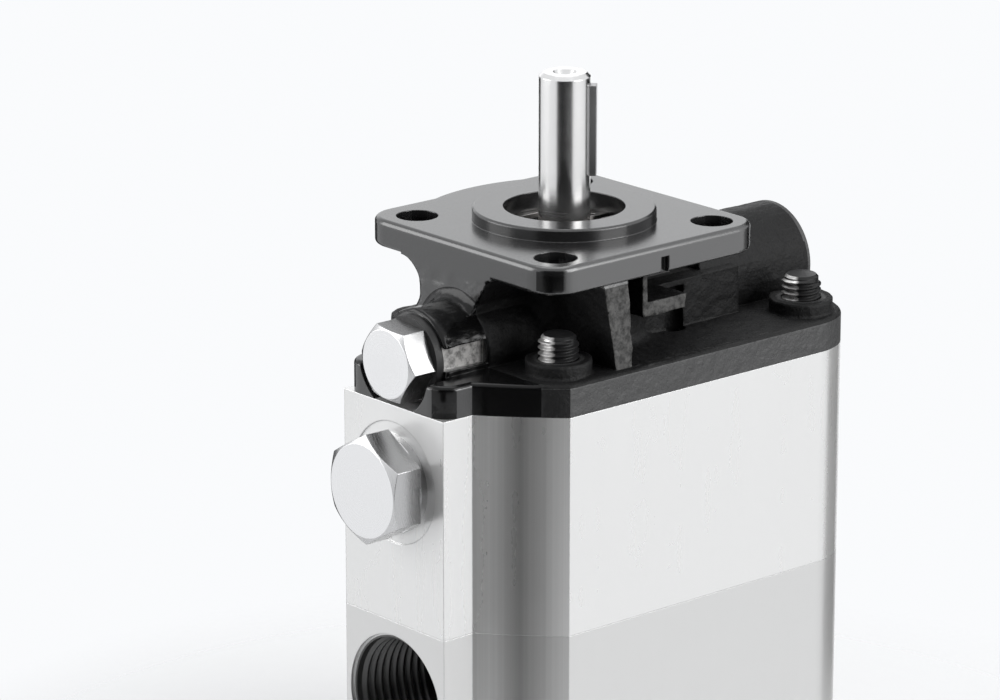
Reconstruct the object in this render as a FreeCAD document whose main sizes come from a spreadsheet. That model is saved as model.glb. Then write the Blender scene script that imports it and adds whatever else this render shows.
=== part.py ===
import FreeCAD, Part
import math
import os

import Sketcher

# Two-stage gear pump on a square four-bolt flange.
# Frame: +Z runs out along the drive shaft, the origin is the pilot's centre on the flange's
# mounting face, -Y is the side of the valve plugs and the inlet, +Y the side of the driven gears.

doc = FreeCAD.newDocument("gear_pump")
sheet = doc.addObject("Spreadsheet::Sheet", "sizes")

DRIVING_SIZES = {
    # mounting end
    "pilot_r": 22.6,
    "pilot_tall": 3.2,
    "pilot_chamfer": 0.5,
    "relief_wide": 1.6,
    "relief_deep": 0.8,
    "flange_thick": 7.0,
    "flange_right": 34.3,
    "flange_left": 36.0,
    "flange_bulge": 2.5,
    "flange_front": 34.8,
    "flange_back": 35.0,
    "flange_corner_r": 8.5,
    "flange_hole_r": 5.2,
    "flange_hole_at": 25.5,
    "nick_wide": 2.6,
    "nick_deep": 1.6,
    "nick_tall": 4.2,
    # drive shaft
    "shaft_r": 6.35,
    "shaft_reach": 36.8,
    "shaft_chamfer": 1.0,
    "shaft_shoulder_drop": 1.5,
    "key_side": 3.175,
    "key_seat_deep": 1.7,
    "key_top_inset": 3.1,
    "key_run": 22.5,
    "key_angle": 45.0,
    "centre_drill_r": 2.9,
    # cover casting
    "cover_tall": 36.7,
    "foot_thick": 8.0,
    "foot_corner_r": 6.0,
    "neck_r": 20.0,
    "foot_edge_r": 1.2,
    "flange_edge_r": 1.3,
    "neck_fillet": 3.0,
    "boss_r": 11.8,
    "boss_front": 47.5,
    "boss_rise": 10.7,
    "boss_edge_r": 0.8,
    "boss_root_r": 3.0,
    "scoop_play": 1.1,
    "gate_flat_at": 9.3,
    "gate_flat_tall": 5.8,
    "gate_flat_drop": 1.4,
    "throat_r": 7.2,
    "throat_left": 20.6,
    "throat_right": 11.3,
    "throat_lead": 1.2,
    "outlet_r": 10.3,
    "outlet_boss_r": 14.0,
    "outlet_rise": 14.7,
    "outlet_proud": 1.0,
    "outlet_deep": 46.0,
    "outlet_thread_deep": 18.0,
    "outlet_way_r": 7.5,
    "shelf_half": 26.0,
    "shelf_top_drop": 16.6,
    "shelf_thick": 3.5,
    "shelf_rib_thick": 1.4,
    "shelf_front": 2.4,
    "shelf_back": 16.5,
    "outlet_core_back": 44.0,
    "outlet_core_half": 16.0,
    "back_web_half": 9.0,
    "back_web_reach": 27.0,
    "side_web_reach": 33.5,
    "side_web_thick": 5.4,
    "side_web_head": 7.8,
    "side_web_at": 7.6,
    "side_web_lean": 1.8,
    # housings
    "nose_half": 18.5,
    "nose_reach": 54.7,
    "strip_reach": 45.7,
    "shoulder_reach": 29.6,
    "shoulder_r": 138.0,
    "body_half": 35.6,
    "body_back": 70.0,
    "body_corner_r": 16.0,
    "first_body_tall": 55.05,
    "second_body_tall": 42.0,
    "second_web": 7.0,
    "rear_cover_tall": 18.0,
    "rear_edge_r": 2.0,
    "rear_recess": 2.0,
    # gears, in mesh at the centre distance module x teeth
    "tooth_module": 3.0,
    "tooth_count": 12,
    "pressure_angle": 28.0,
    "tip_height": 1.0,
    "root_depth": 1.25,
    "backlash": 0.12,
    "root_fillet": 0.55,
    "first_gear_wide": 16.0,
    "second_gear_wide": 5.3,
    "gear_side_play": 0.05,
    "tip_play": 0.06,
    "journal_r": 8.5,
    "bush_wall": 1.0,
    "journal_play": 0.05,
    "bush_inset": 1.0,
    "block_play": 0.03,
    "tang_half": 2.5,
    "tang_half_long": 8.0,
    "tang_tall": 5.6,
    "tang_play": 0.1,
    "shaft_end_play": 0.5,
    # flow passages
    "passage_at": 19.6,
    "passage_r": 4.0,
    "port_slot_half": 5.0,
    "cross_passage_r": 3.0,
    "cross_passage_at": 34.0,
    "return_passage_r": 4.0,
    "return_passage_at": 34.0,
    "inlet_r": 15.9,
    "inlet_mouth_r": 16.9,
    "inlet_drop": 112.3,
    "inlet_deep": 26.0,
    "inlet_throat_r": 9.0,
    "suction_relief": 3.3,
    # check valve in the cover's boss
    "check_bore_r": 7.0,
    "check_thread_deep": 13.0,
    "check_seat_r": 3.0,
    "check_guide_r": 5.75,
    "check_guide_end": 17.0,
    "check_hex_half": 8.7,
    "check_hex_thick": 7.3,
    "check_hex_turn": -5.0,
    "check_nose_r": 5.5,
    "check_washer_thick": 2.2,
    "check_washer_r": 10.4,
    "check_poppet_long": 7.5,
    "check_stroke": 3.0,
    "check_wire_r": 0.5,
    "check_coil_r": 3.6,
    "check_coil_turns": 5,
    # unloading valve in the first housing
    "unloader_drop": 56.2,
    "unloader_spot_r": 15.3,
    "unloader_spot_deep": 0.4,
    "unloader_bore_r": 11.0,
    "unloader_thread_deep": 14.5,
    "unloader_guide_r": 8.0,
    "unloader_guide_end": 25.4,
    "unloader_hex_half": 12.0,
    "unloader_hex_thick": 8.3,
    "unloader_hex_turn": 30.0,
    "unloader_washer_thick": 2.0,
    "unloader_washer_r": 12.2,
    "unloader_spool_long": 11.0,
    "unloader_stroke": 4.0,
    "unloader_wire_r": 0.9,
    "unloader_coil_r": 4.6,
    "unloader_coil_turns": 5,
    "stop_play": 0.4,
    "cup_play": 0.4,
    "check_cup_deep": 3.0,
    "unloader_cup_deep": 4.5,
    "plug_crown": 2.5,
    "thread_play": 0.05,
    "slide_play": 0.03,
    # shaft seal
    "seal_bore_r": 15.0,
    "seal_bore_deep": 11.0,
    "seal_thick": 7.0,
    "seal_lip_play": 0.04,
    "ring_groove_drop": 1.6,
    "ring_thick": 1.2,
    "ring_groove_deep": 0.8,
    "ring_wide": 2.8,
    "shaft_hole_r": 8.8,
    # joints between the castings
    "joint_seal_r": 26.0,
    "joint_seal_wide": 2.4,
    "joint_seal_tall": 1.8,
    "small_seal_r": 6.6,
    "small_seal_bore": 5.2,
    "small_seal_tall": 1.4,
    "dowel_r": 3.0,
    "dowel_half_long": 6.0,
    "dowel_play": 0.02,
    "dowel_x": 31.0,
    "dowel_front": 10.0,
    "dowel_back": 42.0,
    "bolt_r": 5.0,
    "bolt_hole_r": 5.25,
    "bolt_x": 25.0,
    "bolt_front": 24.0,
    "bolt_back": 57.0,
    "bolt_stand": 9.5,
    "bolt_boss_r": 8.0,
    "bolt_boss_tall": 3.5,
    "bolt_head_half": 8.0,
    "bolt_head_thick": 6.4,
    "bolt_head_turn": 30.0,
    "washer_r": 9.6,
    "washer_thick": 2.0,
}


def fill_sheet():
    for row, (alias, value) in enumerate(DRIVING_SIZES.items(), start=1):
        sheet.set("A%d" % row, alias)
        sheet.set("B%d" % row, str(value))
        sheet.setAlias("B%d" % row, alias)
    doc.recompute()


class Size:
    """A length that knows both its value and the expression that binds it to the sheet."""

    def __init__(self, value, text):
        self.value = float(value)
        self.text = text

    def __add__(self, other):
        other = as_size(other)
        return Size(self.value + other.value, "(%s + %s)" % (self.text, other.text))

    def __sub__(self, other):
        other = as_size(other)
        return Size(self.value - other.value, "(%s - %s)" % (self.text, other.text))

    def __mul__(self, other):
        other = as_size(other)
        return Size(self.value * other.value, "(%s * %s)" % (self.text, other.text))

    def __truediv__(self, other):
        other = as_size(other)
        return Size(self.value / other.value, "(%s / %s)" % (self.text, other.text))

    def __radd__(self, other):
        return as_size(other) + self

    def __rsub__(self, other):
        return as_size(other) - self

    def __rmul__(self, other):
        return as_size(other) * self

    def __neg__(self):
        return as_size(0) - self


def as_size(number):
    return number if isinstance(number, Size) else Size(number, repr(number))


def is_nought(number):
    return not isinstance(number, Size) and number == 0


def root(number):
    return Size(math.sqrt(number.value), "sqrt(%s)" % number.text)


class Sizes:
    """The driving sizes, read back from the sheet by name."""

    def __getattr__(self, alias):
        return Size(sheet.get(alias), "sizes." + alias)


fill_sheet()
s = Sizes()

# heights of the joints, worked down from the mounting face
flange_low = -s.flange_thick
foot_top = s.foot_thick - s.cover_tall
first_joint = -s.cover_tall
second_joint = first_joint - s.first_body_tall
third_joint = second_joint - s.second_body_tall
tail = third_joint - s.rear_cover_tall
cavity_top = second_joint - s.second_web
boss_z = first_joint + s.boss_rise
outlet_z = first_joint + s.outlet_rise
outlet_face = s.body_back + s.outlet_proud
centre_distance = s.tooth_module * s.tooth_count
waist = centre_distance / 2
tip_r = s.tooth_module * (s.tooth_count / 2 + s.tip_height)
root_r = s.tooth_module * (s.tooth_count / 2 - s.root_depth)
gear_bore_r = tip_r + s.tip_play
first_block_tall = (s.first_body_tall - s.first_gear_wide - s.gear_side_play) / 2
second_block_tall = (third_joint * -1 + cavity_top - s.second_gear_wide - s.gear_side_play) / 2
first_gear_top = first_joint - first_block_tall - s.gear_side_play / 2
second_gear_top = cavity_top - second_block_tall - s.gear_side_play / 2


def new_body(label):
    body = doc.addObject("PartDesign::Body", label)
    body.Label = label
    return body


def place_body(body, x=0, y=0, z=0, rotation=None):
    x, y, z = as_size(x), as_size(y), as_size(z)
    turn = rotation if rotation is not None else FreeCAD.Rotation()
    body.Placement = FreeCAD.Placement(FreeCAD.Vector(x.value, y.value, z.value), turn)
    body.setExpression("Placement.Base.x", x.text)
    body.setExpression("Placement.Base.y", y.text)
    body.setExpression("Placement.Base.z", z.text)


class Outline:
    """A sketch on one of its body's origin planes, with every point bound to the sheet."""

    def __init__(self, body, name, role="XY_Plane", offset=0):
        self.sketch = body.newObject("Sketcher::SketchObject", name)
        plane = [f for f in body.Origin.OriginFeatures if f.Role == role][0]
        self.sketch.AttachmentSupport = (plane, [""])
        self.sketch.MapMode = "FlatFace"
        offset = as_size(offset)
        shift = FreeCAD.Vector(0, 0, offset.value)
        self.sketch.AttachmentOffset = FreeCAD.Placement(shift, FreeCAD.Rotation())
        self.sketch.setExpression("AttachmentOffset.Base.z", offset.text)

    def bind(self, *parts):
        index = self.sketch.addConstraint(Sketcher.Constraint(*parts[:-1], parts[-1].value))
        self.sketch.setExpression("Constraints[%d]" % index, parts[-1].text)

    def pin(self, edge, end, x, y):
        if is_nought(x) and is_nought(y):
            self.sketch.addConstraint(Sketcher.Constraint("Coincident", edge, end, -1, 1))
            return
        if is_nought(x):
            self.sketch.addConstraint(Sketcher.Constraint("PointOnObject", edge, end, -2))
        else:
            self.bind("DistanceX", -1, 1, edge, end, as_size(x))
        if is_nought(y):
            self.sketch.addConstraint(Sketcher.Constraint("PointOnObject", edge, end, -1))
        else:
            self.bind("DistanceY", -1, 1, edge, end, as_size(y))

    def circle(self, x, y, r):
        centre = FreeCAD.Vector(as_size(x).value, as_size(y).value, 0)
        up = FreeCAD.Vector(0, 0, 1)
        edge = self.sketch.addGeometry(Part.Circle(centre, up, as_size(r).value), False)
        self.pin(edge, 3, x, y)
        self.bind("Radius", edge, as_size(r))
        return self

    def loop(self, corners):
        """Closed outline. A corner with a third value is reached along an arc of that radius,
        which bulges to the right of the way of travel, or to the left where it is negative."""
        edges = []
        for index, corner in enumerate(corners):
            before = corners[index - 1]
            start = FreeCAD.Vector(as_size(before[0]).value, as_size(before[1]).value, 0)
            end = FreeCAD.Vector(as_size(corner[0]).value, as_size(corner[1]).value, 0)
            if len(corner) == 2:
                edge = self.sketch.addGeometry(Part.LineSegment(start, end), False)
                edges.append((edge, 1, 2))
            else:
                edges.append(self.arc(start, end, as_size(corner[2])))
        for index, corner in enumerate(corners):
            edge, _, end = edges[index]
            following, start, _ = edges[(index + 1) % len(edges)]
            self.sketch.addConstraint(Sketcher.Constraint("Coincident", edge, end, following, start))
            self.pin(edge, end, corner[0], corner[1])
        for index, corner in enumerate(corners):
            if len(corner) == 3:
                radius = as_size(corner[2])
                radius = radius if radius.value > 0 else -radius
                self.bind("Radius", edges[index][0], radius)
        return self

    def arc(self, start, end, radius):
        chord = end - start
        left = FreeCAD.Vector(-chord.y, chord.x, 0).normalize()
        reach = math.sqrt(max(radius.value**2 - chord.Length**2 / 4, 0))
        side = 1 if radius.value > 0 else -1
        centre = (start + end) * 0.5 + left * (reach * side)
        first, last = (start, end) if side > 0 else (end, start)
        angles = [math.atan2(p.y - centre.y, p.x - centre.x) for p in (first, last)]
        if angles[1] < angles[0]:
            angles[1] += 2 * math.pi
        circle = Part.Circle(centre, FreeCAD.Vector(0, 0, 1), abs(radius.value))
        edge = self.sketch.addGeometry(Part.ArcOfCircle(circle, *angles), False)
        return (edge, 1, 2) if side > 0 else (edge, 2, 1)

    def box(self, x_low, x_high, y_low, y_high):
        return self.loop([(x_low, y_low), (x_high, y_low), (x_high, y_high), (x_low, y_high)])


def swell(body, kind, name, outline, length, reverse=False):
    feature = body.newObject("PartDesign::" + kind, name)
    feature.Profile = outline.sketch
    feature.Reversed = reverse
    feature.setExpression("Length", as_size(length).text)
    return feature


def pad(body, name, outline, length, reverse=False):
    return swell(body, "Pad", name, outline, length, reverse)


def pocket(body, name, outline, length, reverse=False):
    return swell(body, "Pocket", name, outline, length, reverse)


def spun(body, kind, name, outline):
    feature = body.newObject("PartDesign::" + kind, name)
    feature.Profile = outline.sketch
    feature.ReferenceAxis = (outline.sketch, ["V_Axis"])
    feature.Angle = 360
    return feature


def revolve(body, name, corners):
    """A solid turned about the body's own Z axis from an outline of radius and height."""
    return spun(body, "Revolution", name, Outline(body, name + "_section", "XZ_Plane").loop(corners))


def groove(body, name, corners):
    return spun(body, "Groove", name, Outline(body, name + "_section", "XZ_Plane").loop(corners))


def rounded(body, name, base, r, chosen):
    """A fillet on the edges of the base feature that the chosen test picks."""
    doc.recompute()
    edges = base.Shape.Edges
    names = ["Edge%d" % (index + 1) for index, edge in enumerate(edges) if chosen(edge)]
    fillet = body.newObject("PartDesign::Fillet", name)
    fillet.Base = (base, names)
    fillet.setExpression("Radius", r.text)
    body.Tip = fillet
    return fillet


def lies_level(edge, height):
    """Whether an edge lies flat at one height."""
    box = edge.BoundBox
    return abs(box.ZMin - height.value) < 0.001 and abs(box.ZMax - height.value) < 0.001


def copies(label, body, places):
    """One group of separate, like solids: a linked copy of the body at each place."""
    links = []
    for index, (x, y, z) in enumerate(places):
        link = doc.addObject("App::Link", "%s_%d" % (label, index + 1))
        link.LinkedObject = body
        link.setExpression("Placement.Base.x", as_size(x).text)
        link.setExpression("Placement.Base.y", as_size(y).text)
        link.setExpression("Placement.Base.z", as_size(z).text)
        links.append(link)
    group = doc.addObject("Part::Compound", label)
    group.Label = label
    group.Links = links
    return group


# outlines that several pieces share


def housing_corners(front_r):
    """The housings' outline, rounded at the nose where front_r is given."""
    nose, nose_y = s.nose_half, -s.nose_reach
    strip_y, shoulder_y = -s.strip_reach, -s.shoulder_reach
    side, back, corner = s.body_half, s.body_back, s.body_corner_r
    corners = []
    if front_r is None:
        corners += [(-nose, nose_y), (nose, nose_y)]
    else:
        corners += [(-nose, nose_y + front_r), (front_r - nose, nose_y, front_r)]
        corners += [(nose - front_r, nose_y), (nose, nose_y + front_r, front_r)]
    corners += [(nose, strip_y), (side, shoulder_y, s.shoulder_r)]
    corners += [(side, back - corner), (side - corner, back, corner)]
    corners += [(corner - side, back), (-side, back - corner, corner)]
    corners += [(-side, shoulder_y), (-nose, strip_y, s.shoulder_r)]
    return corners


def stadium_corners(r):
    """A racetrack round both gear axes."""
    far = centre_distance
    return [(r, far), (0, far + r, r), (-r, far, r), (-r, 0), (0, -r, r), (r, 0, r)]


def cut_seal_groove(body, name, top):
    ring = Outline(body, name + "_ring", "XY_Plane", top)
    ring.loop(stadium_corners(s.joint_seal_r + s.joint_seal_wide / 2))
    ring.loop(stadium_corners(s.joint_seal_r - s.joint_seal_wide / 2))
    pocket(body, name, ring, s.joint_seal_tall)


def bolt_places(z):
    return [
        (x, y, z) for y in (-s.bolt_front, s.bolt_back) for x in (s.bolt_x, -s.bolt_x)
    ]


def dowel_places(z):
    return [(s.dowel_x, -s.dowel_front, z), (-s.dowel_x, s.dowel_back, z)]


def cut_bolt_holes(body, top, r, deep):
    holes = Outline(body, "bolt_hole_circles", "XY_Plane", top)
    for x, y, _ in bolt_places(0):
        holes.circle(x, y, r)
    pocket(body, "bolt_holes", holes, deep)


def cut_dowel_holes(body, name, top):
    holes = Outline(body, name + "_circles", "XY_Plane", top)
    for x, y, _ in dowel_places(0):
        holes.circle(x, y, s.dowel_r + s.dowel_play)
    pocket(body, name, holes, s.dowel_half_long + s.dowel_play * 10)


# front cover casting


def flange_corners():
    right, left, r = s.flange_right, -s.flange_left, s.flange_corner_r
    front, back = -s.flange_front, s.flange_back
    swell_front, swell_back = front / 3, back / 2
    half, bulge = (swell_back - swell_front) / 2, s.flange_bulge
    swell_r = (half * half + bulge * bulge) / (bulge * 2)
    return [
        (left + r, front, r),
        (right - r, front),
        (right, front + r, r),
        (right, back - r),
        (right - r, back, r),
        (left + r, back),
        (left, back - r, r),
        (left, swell_back),
        (left, swell_front, swell_r),
        (left, front + r),
    ]


def front_web_corners():
    """The throat's outline on the flange's front edge, as X and Z."""
    r, left, right = s.throat_r, -s.throat_left, s.throat_right
    throat_z = flange_low - r
    slope = r * math.sqrt(0.5)
    inside = flange_low + s.flange_thick / 4
    return [
        (left, inside),
        (left, flange_low),
        (left + r, throat_z, -r),
        (left + slope, throat_z - slope, -r),
        (-s.boss_r * 0.8, boss_z),
        (s.boss_r * 0.5, boss_z),
        (s.boss_r * 0.6, throat_z),
        (right, flange_low - s.throat_lead / 2),
        (right + s.throat_lead, flange_low),
        (right + s.throat_lead, inside),
    ]


def side_web_corners():
    """The upright web between flange and foot at the casting's side, as Y and Z."""
    inside = s.flange_thick / 4
    foot_near, head_near = -s.side_web_at, -s.side_web_at - s.side_web_lean
    foot_far, head_far = foot_near - s.side_web_thick, head_near - s.side_web_head
    return [
        (foot_far, foot_top - inside),
        (foot_near, foot_top - inside),
        (foot_near, foot_top),
        (head_near, flange_low),
        (head_near, flange_low + inside),
        (head_far, flange_low + inside),
        (head_far, flange_low),
        (foot_far, foot_top),
    ]


def front_cover():
    body = new_body("front_cover")
    foot = Outline(body, "foot_outline", "XY_Plane", first_joint)
    foot.loop(housing_corners(s.foot_corner_r))
    foot = pad(body, "foot", foot, s.foot_thick)
    rounded(body, "foot_rim", foot, s.foot_edge_r, lambda edge: lies_level(edge, foot_top))
    neck_tall = flange_low - foot_top
    neck = Outline(body, "neck_circle", "XY_Plane", foot_top).circle(0, 0, s.neck_r)
    pad(body, "neck", neck, neck_tall)
    flange = Outline(body, "flange_outline", "XY_Plane", flange_low).loop(flange_corners())
    flange = pad(body, "flange", flange, s.flange_thick)
    round_flange(body, flange)
    pilot = Outline(body, "pilot_circle").circle(0, 0, s.pilot_r)
    pad(body, "pilot", pilot, s.pilot_tall)
    add_cover_webs(body, neck_tall)
    bosses = Outline(body, "bolt_boss_circles", "XY_Plane", foot_top)
    for x, y, _ in bolt_places(0):
        bosses.circle(x, y, s.bolt_boss_r)
    pad(body, "bolt_bosses", bosses, s.bolt_boss_tall)
    add_valve_boss(body)
    add_outlet(body)
    finish_pilot(body)
    cut_shaft_way(body)
    cut_cover_holes(body)
    cut_check_valve_bore(body)
    cut_outlet_bore(body)
    return body


def round_flange(body, flange):
    """The cast radii: the flange's two rims, and the neck where it meets flange and foot."""

    def on_neck(edge):
        middle = edge.valueAt((edge.FirstParameter + edge.LastParameter) / 2)
        return abs(math.hypot(middle.x, middle.y) - s.neck_r.value) < 0.01

    def at_rim(edge):
        level = lies_level(edge, as_size(0)) or lies_level(edge, flange_low)
        return level and not on_neck(edge)

    def at_neck(edge):
        return on_neck(edge) and (lies_level(edge, foot_top) or lies_level(edge, flange_low))

    rim = rounded(body, "flange_rims", flange, s.flange_edge_r, at_rim)
    rounded(body, "neck_fillets", rim, s.neck_fillet, at_neck)


def add_cover_webs(body, neck_tall):
    front = Outline(body, "front_web_outline", "XZ_Plane", s.flange_front)
    front.loop(front_web_corners())
    pad(body, "front_web", front, s.flange_front - s.neck_r * 0.7, reverse=True)
    side = Outline(body, "side_web_outline", "YZ_Plane", -s.side_web_reach)
    side.loop(side_web_corners())
    pad(body, "side_webs", side, s.side_web_reach * 2)
    back = Outline(body, "back_web_outline", "XY_Plane", foot_top)
    back.box(-s.back_web_half, s.back_web_half, s.neck_r * 0.5, s.back_web_reach)
    pad(body, "back_web", back, neck_tall)


def add_valve_boss(body):
    """The check valve's round boss, flat where it meets the first joint."""
    r = s.boss_r
    half = root(r * r - s.boss_rise * s.boss_rise)
    boss = Outline(body, "boss_outline", "XZ_Plane", s.boss_front)
    boss.loop([(half, first_joint), (0, r + boss_z, r), (-half, first_joint, r)])
    boss = pad(body, "valve_boss", boss, s.boss_front - s.neck_r * 0.6, reverse=True)

    def at_front(edge):
        box = edge.BoundBox
        flush = abs(box.YMin + s.boss_front.value) < 0.001 and box.YLength < 0.001
        return flush and box.ZMax > foot_top.value

    def at_root(edge):
        box = edge.BoundBox
        flush = abs(box.YMin + s.flange_front.value) < 0.001 and box.YLength < 0.001
        middle = edge.valueAt((edge.FirstParameter + edge.LastParameter) / 2)
        out = math.hypot(middle.x, middle.z - boss_z.value)
        return flush and abs(out - r.value) < 0.001 and middle.z > foot_top.value

    rim = rounded(body, "boss_rim", boss, s.boss_edge_r, at_front)
    rounded(body, "boss_root", rim, s.boss_root_r, at_root)
    flat = Outline(body, "gate_flat_outline", "YZ_Plane", r)
    low = boss_z - s.gate_flat_drop
    flat.box(-s.boss_front, -s.flange_front, low, low + s.gate_flat_tall)
    pocket(body, "gate_flat", flat, r - s.gate_flat_at)


def add_outlet(body):
    shelf_low = -s.shelf_top_drop - s.shelf_thick
    core = Outline(body, "outlet_core_outline", "XY_Plane", foot_top)
    core.box(-s.outlet_core_half, s.outlet_core_half, s.shelf_front, s.outlet_core_back)
    pad(body, "outlet_core", core, -s.shelf_top_drop - foot_top)
    shelf = Outline(body, "shelf_outline", "XY_Plane", shelf_low)
    shelf.box(-s.shelf_half, s.shelf_half, s.shelf_front, s.shelf_back)
    pad(body, "shelf", shelf, s.shelf_thick)
    rib = Outline(body, "shelf_rib_outline", "XY_Plane", -s.shelf_top_drop)
    rib.box(-s.shelf_half, s.shelf_half, s.shelf_front, s.shelf_front + s.shelf_rib_thick)
    pad(body, "shelf_rib", rib, s.shelf_top_drop - s.flange_thick)
    boss = Outline(body, "outlet_boss_circle", "XZ_Plane", -outlet_face)
    boss.circle(0, outlet_z, s.outlet_boss_r)
    pad(body, "outlet_boss", boss, outlet_face - s.outlet_core_back + s.outlet_r)


def finish_pilot(body):
    r, top, cut = s.pilot_r, s.pilot_tall, s.pilot_chamfer
    groove(body, "pilot_lead", [(r - cut, top), (r + cut, top - cut * 2), (r + cut, top)])
    groove(
        body,
        "pilot_relief",
        [(r, 0), (r, -s.relief_deep), (r + s.relief_wide, -s.relief_deep), (r + s.relief_wide, 0)],
    )


def cut_shaft_way(body):
    seal = Outline(body, "seal_bore_circle", "XY_Plane", s.pilot_tall)
    seal.circle(0, 0, s.seal_bore_r)
    pocket(body, "seal_bore", seal, s.pilot_tall + s.seal_bore_deep)
    hole = Outline(body, "shaft_hole_circle", "XY_Plane", 0).circle(0, 0, s.shaft_hole_r)
    pocket(body, "shaft_hole", hole, s.cover_tall)
    top = -s.ring_groove_drop
    low = top - s.ring_thick - s.slide_play
    wall = s.seal_bore_r + s.ring_groove_deep
    groove(
        body,
        "ring_groove",
        [(s.seal_bore_r - 1, low), (wall, low), (wall, top), (s.seal_bore_r - 1, top)],
    )


def cut_cover_holes(body):
    at = s.flange_hole_at
    holes = Outline(body, "flange_hole_circles")
    for x, y in ((at, at), (-at, at), (-at, -at), (at, -at)):
        holes.circle(x, y, s.flange_hole_r)
    pocket(body, "flange_holes", holes, s.flange_thick)
    boss_top = foot_top + s.bolt_boss_tall
    cut_bolt_holes(body, boss_top, s.bolt_r + s.thread_play, s.foot_thick + s.bolt_boss_tall)
    cut_dowel_holes(body, "dowel_holes", first_joint + s.dowel_half_long + s.dowel_play * 10)
    nick = Outline(body, "nick_outline", "YZ_Plane", s.flange_right)
    nick.box(s.key_side / 5, s.nick_wide + s.key_side / 5, flange_low, flange_low + s.nick_tall)
    pocket(body, "nick", nick, s.nick_deep)
    rise = Outline(body, "rise_circle", "XY_Plane", outlet_z + s.passage_r)
    rise.circle(s.passage_at * 0.78, waist + s.passage_r, s.passage_r * 0.8)
    pocket(body, "pressure_rise", rise, s.outlet_rise + s.passage_r)


def cut_check_valve_bore(body):
    """Spot face for the plug, thread, guide and seat, one behind the other."""
    z = boss_z
    scoop = Outline(body, "scoop_circle", "XZ_Plane", s.nose_reach)
    scoop.circle(0, z, s.boss_r + s.scoop_play)
    pocket(body, "plug_scoop", scoop, s.nose_reach - s.boss_front)
    thread = Outline(body, "check_thread_circle", "XZ_Plane", s.boss_front)
    thread.circle(0, z, s.check_bore_r)
    pocket(body, "check_thread", thread, s.check_thread_deep)
    guide = Outline(body, "check_guide_circle", "XZ_Plane", s.boss_front)
    guide.circle(0, z, s.check_guide_r)
    pocket(body, "check_guide", guide, s.boss_front - s.check_guide_end)
    seat = Outline(body, "check_seat_circle", "XZ_Plane", s.check_guide_end)
    seat.circle(0, z, s.check_seat_r)
    pocket(body, "check_seat", seat, s.check_seat_r)
    feed = Outline(body, "check_feed_circle", "XY_Plane", z)
    feed.circle(0, -(s.check_guide_end - s.check_seat_r), s.check_seat_r * 0.8)
    pocket(body, "check_feed", feed, s.boss_rise)
    cross = Outline(body, "cross_passage_circle", "XY_Plane", z)
    cross.circle(0, -s.cross_passage_at, s.cross_passage_r)
    pocket(body, "cross_passage", cross, s.boss_rise)


def cut_outlet_bore(body):
    """The threaded mouth and the narrower way behind it, cut in from the outlet's face."""
    steps = (
        ("thread", s.outlet_r, s.outlet_thread_deep),
        ("way", s.outlet_way_r, s.outlet_deep),
    )
    for name, r, deep in steps:
        circle = Outline(body, "outlet_%s_circle" % name, "XZ_Plane", -outlet_face)
        circle.circle(0, outlet_z, r)
        pocket(body, "outlet_" + name, circle, deep, reverse=True)


# housings


def cut_gear_bores(body, top, deep):
    for name, y in (("drive_side", 0), ("driven_side", centre_distance)):
        bore = Outline(body, name + "_circle", "XY_Plane", top).circle(0, y, gear_bore_r)
        pocket(body, name + "_bore", bore, deep)


def cut_side_passages(body, top, deep, gear_top, gear_wide):
    """A suction and a pressure passage beside the mesh, each with a slot at the gears."""
    holes = Outline(body, "passage_circles", "XY_Plane", top)
    holes.circle(s.passage_at, waist, s.passage_r)
    holes.circle(-s.passage_at, waist, s.passage_r)
    pocket(body, "passages", holes, deep)
    slot = Outline(body, "port_slot_outline", "XY_Plane", gear_top)
    slot.box(-s.passage_at, s.passage_at, waist - s.port_slot_half, waist + s.port_slot_half)
    pocket(body, "port_slots", slot, gear_wide)


def first_body():
    body = new_body("first_body")
    outline = Outline(body, "outline", "XY_Plane", second_joint).loop(housing_corners(None))
    pad(body, "block", outline, s.first_body_tall)
    cut_gear_bores(body, first_joint, s.first_body_tall)
    cut_side_passages(body, first_joint, s.first_body_tall, first_gear_top, s.first_gear_wide)
    cut_bolt_holes(body, first_joint, s.bolt_hole_r, s.first_body_tall)
    cut_dowel_holes(body, "front_dowel_holes", first_joint)
    rear_top = second_joint + s.dowel_half_long + s.dowel_play * 10
    cut_dowel_holes(body, "rear_dowel_holes", rear_top)
    cut_seal_groove(body, "front_seal_groove", first_joint)
    cut_unloader_bore(body)
    cross = Outline(body, "cross_passage_circle", "XY_Plane", first_joint)
    cross.circle(0, -s.cross_passage_at, s.cross_passage_r)
    pocket(body, "cross_passage", cross, s.unloader_drop - s.cover_tall)
    cut_small_seal_seat(body, s.cross_passage_at, first_joint)
    back = Outline(body, "return_passage_circle", "XY_Plane", -s.unloader_drop)
    back.circle(0, -s.return_passage_at, s.return_passage_r)
    pocket(body, "return_passage", back, -second_joint - s.unloader_drop)
    return body


def cut_small_seal_seat(body, at, top):
    seat = Outline(body, "small_seal_circle", "XY_Plane", top).circle(0, -at, s.small_seal_r)
    pocket(body, "small_seal_seat", seat, s.small_seal_tall)


def cut_unloader_bore(body):
    """Spot face, thread and guide of the unloading valve."""
    z, front = -s.unloader_drop, s.nose_reach
    steps = (
        ("spot", s.unloader_spot_r, s.unloader_spot_deep),
        ("thread", s.unloader_bore_r, s.unloader_thread_deep),
        ("guide", s.unloader_guide_r, front - s.unloader_guide_end),
    )
    for name, r, deep in steps:
        circle = Outline(body, "unloader_%s_circle" % name, "XZ_Plane", front).circle(0, z, r)
        pocket(body, "unloader_" + name, circle, deep)


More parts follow.
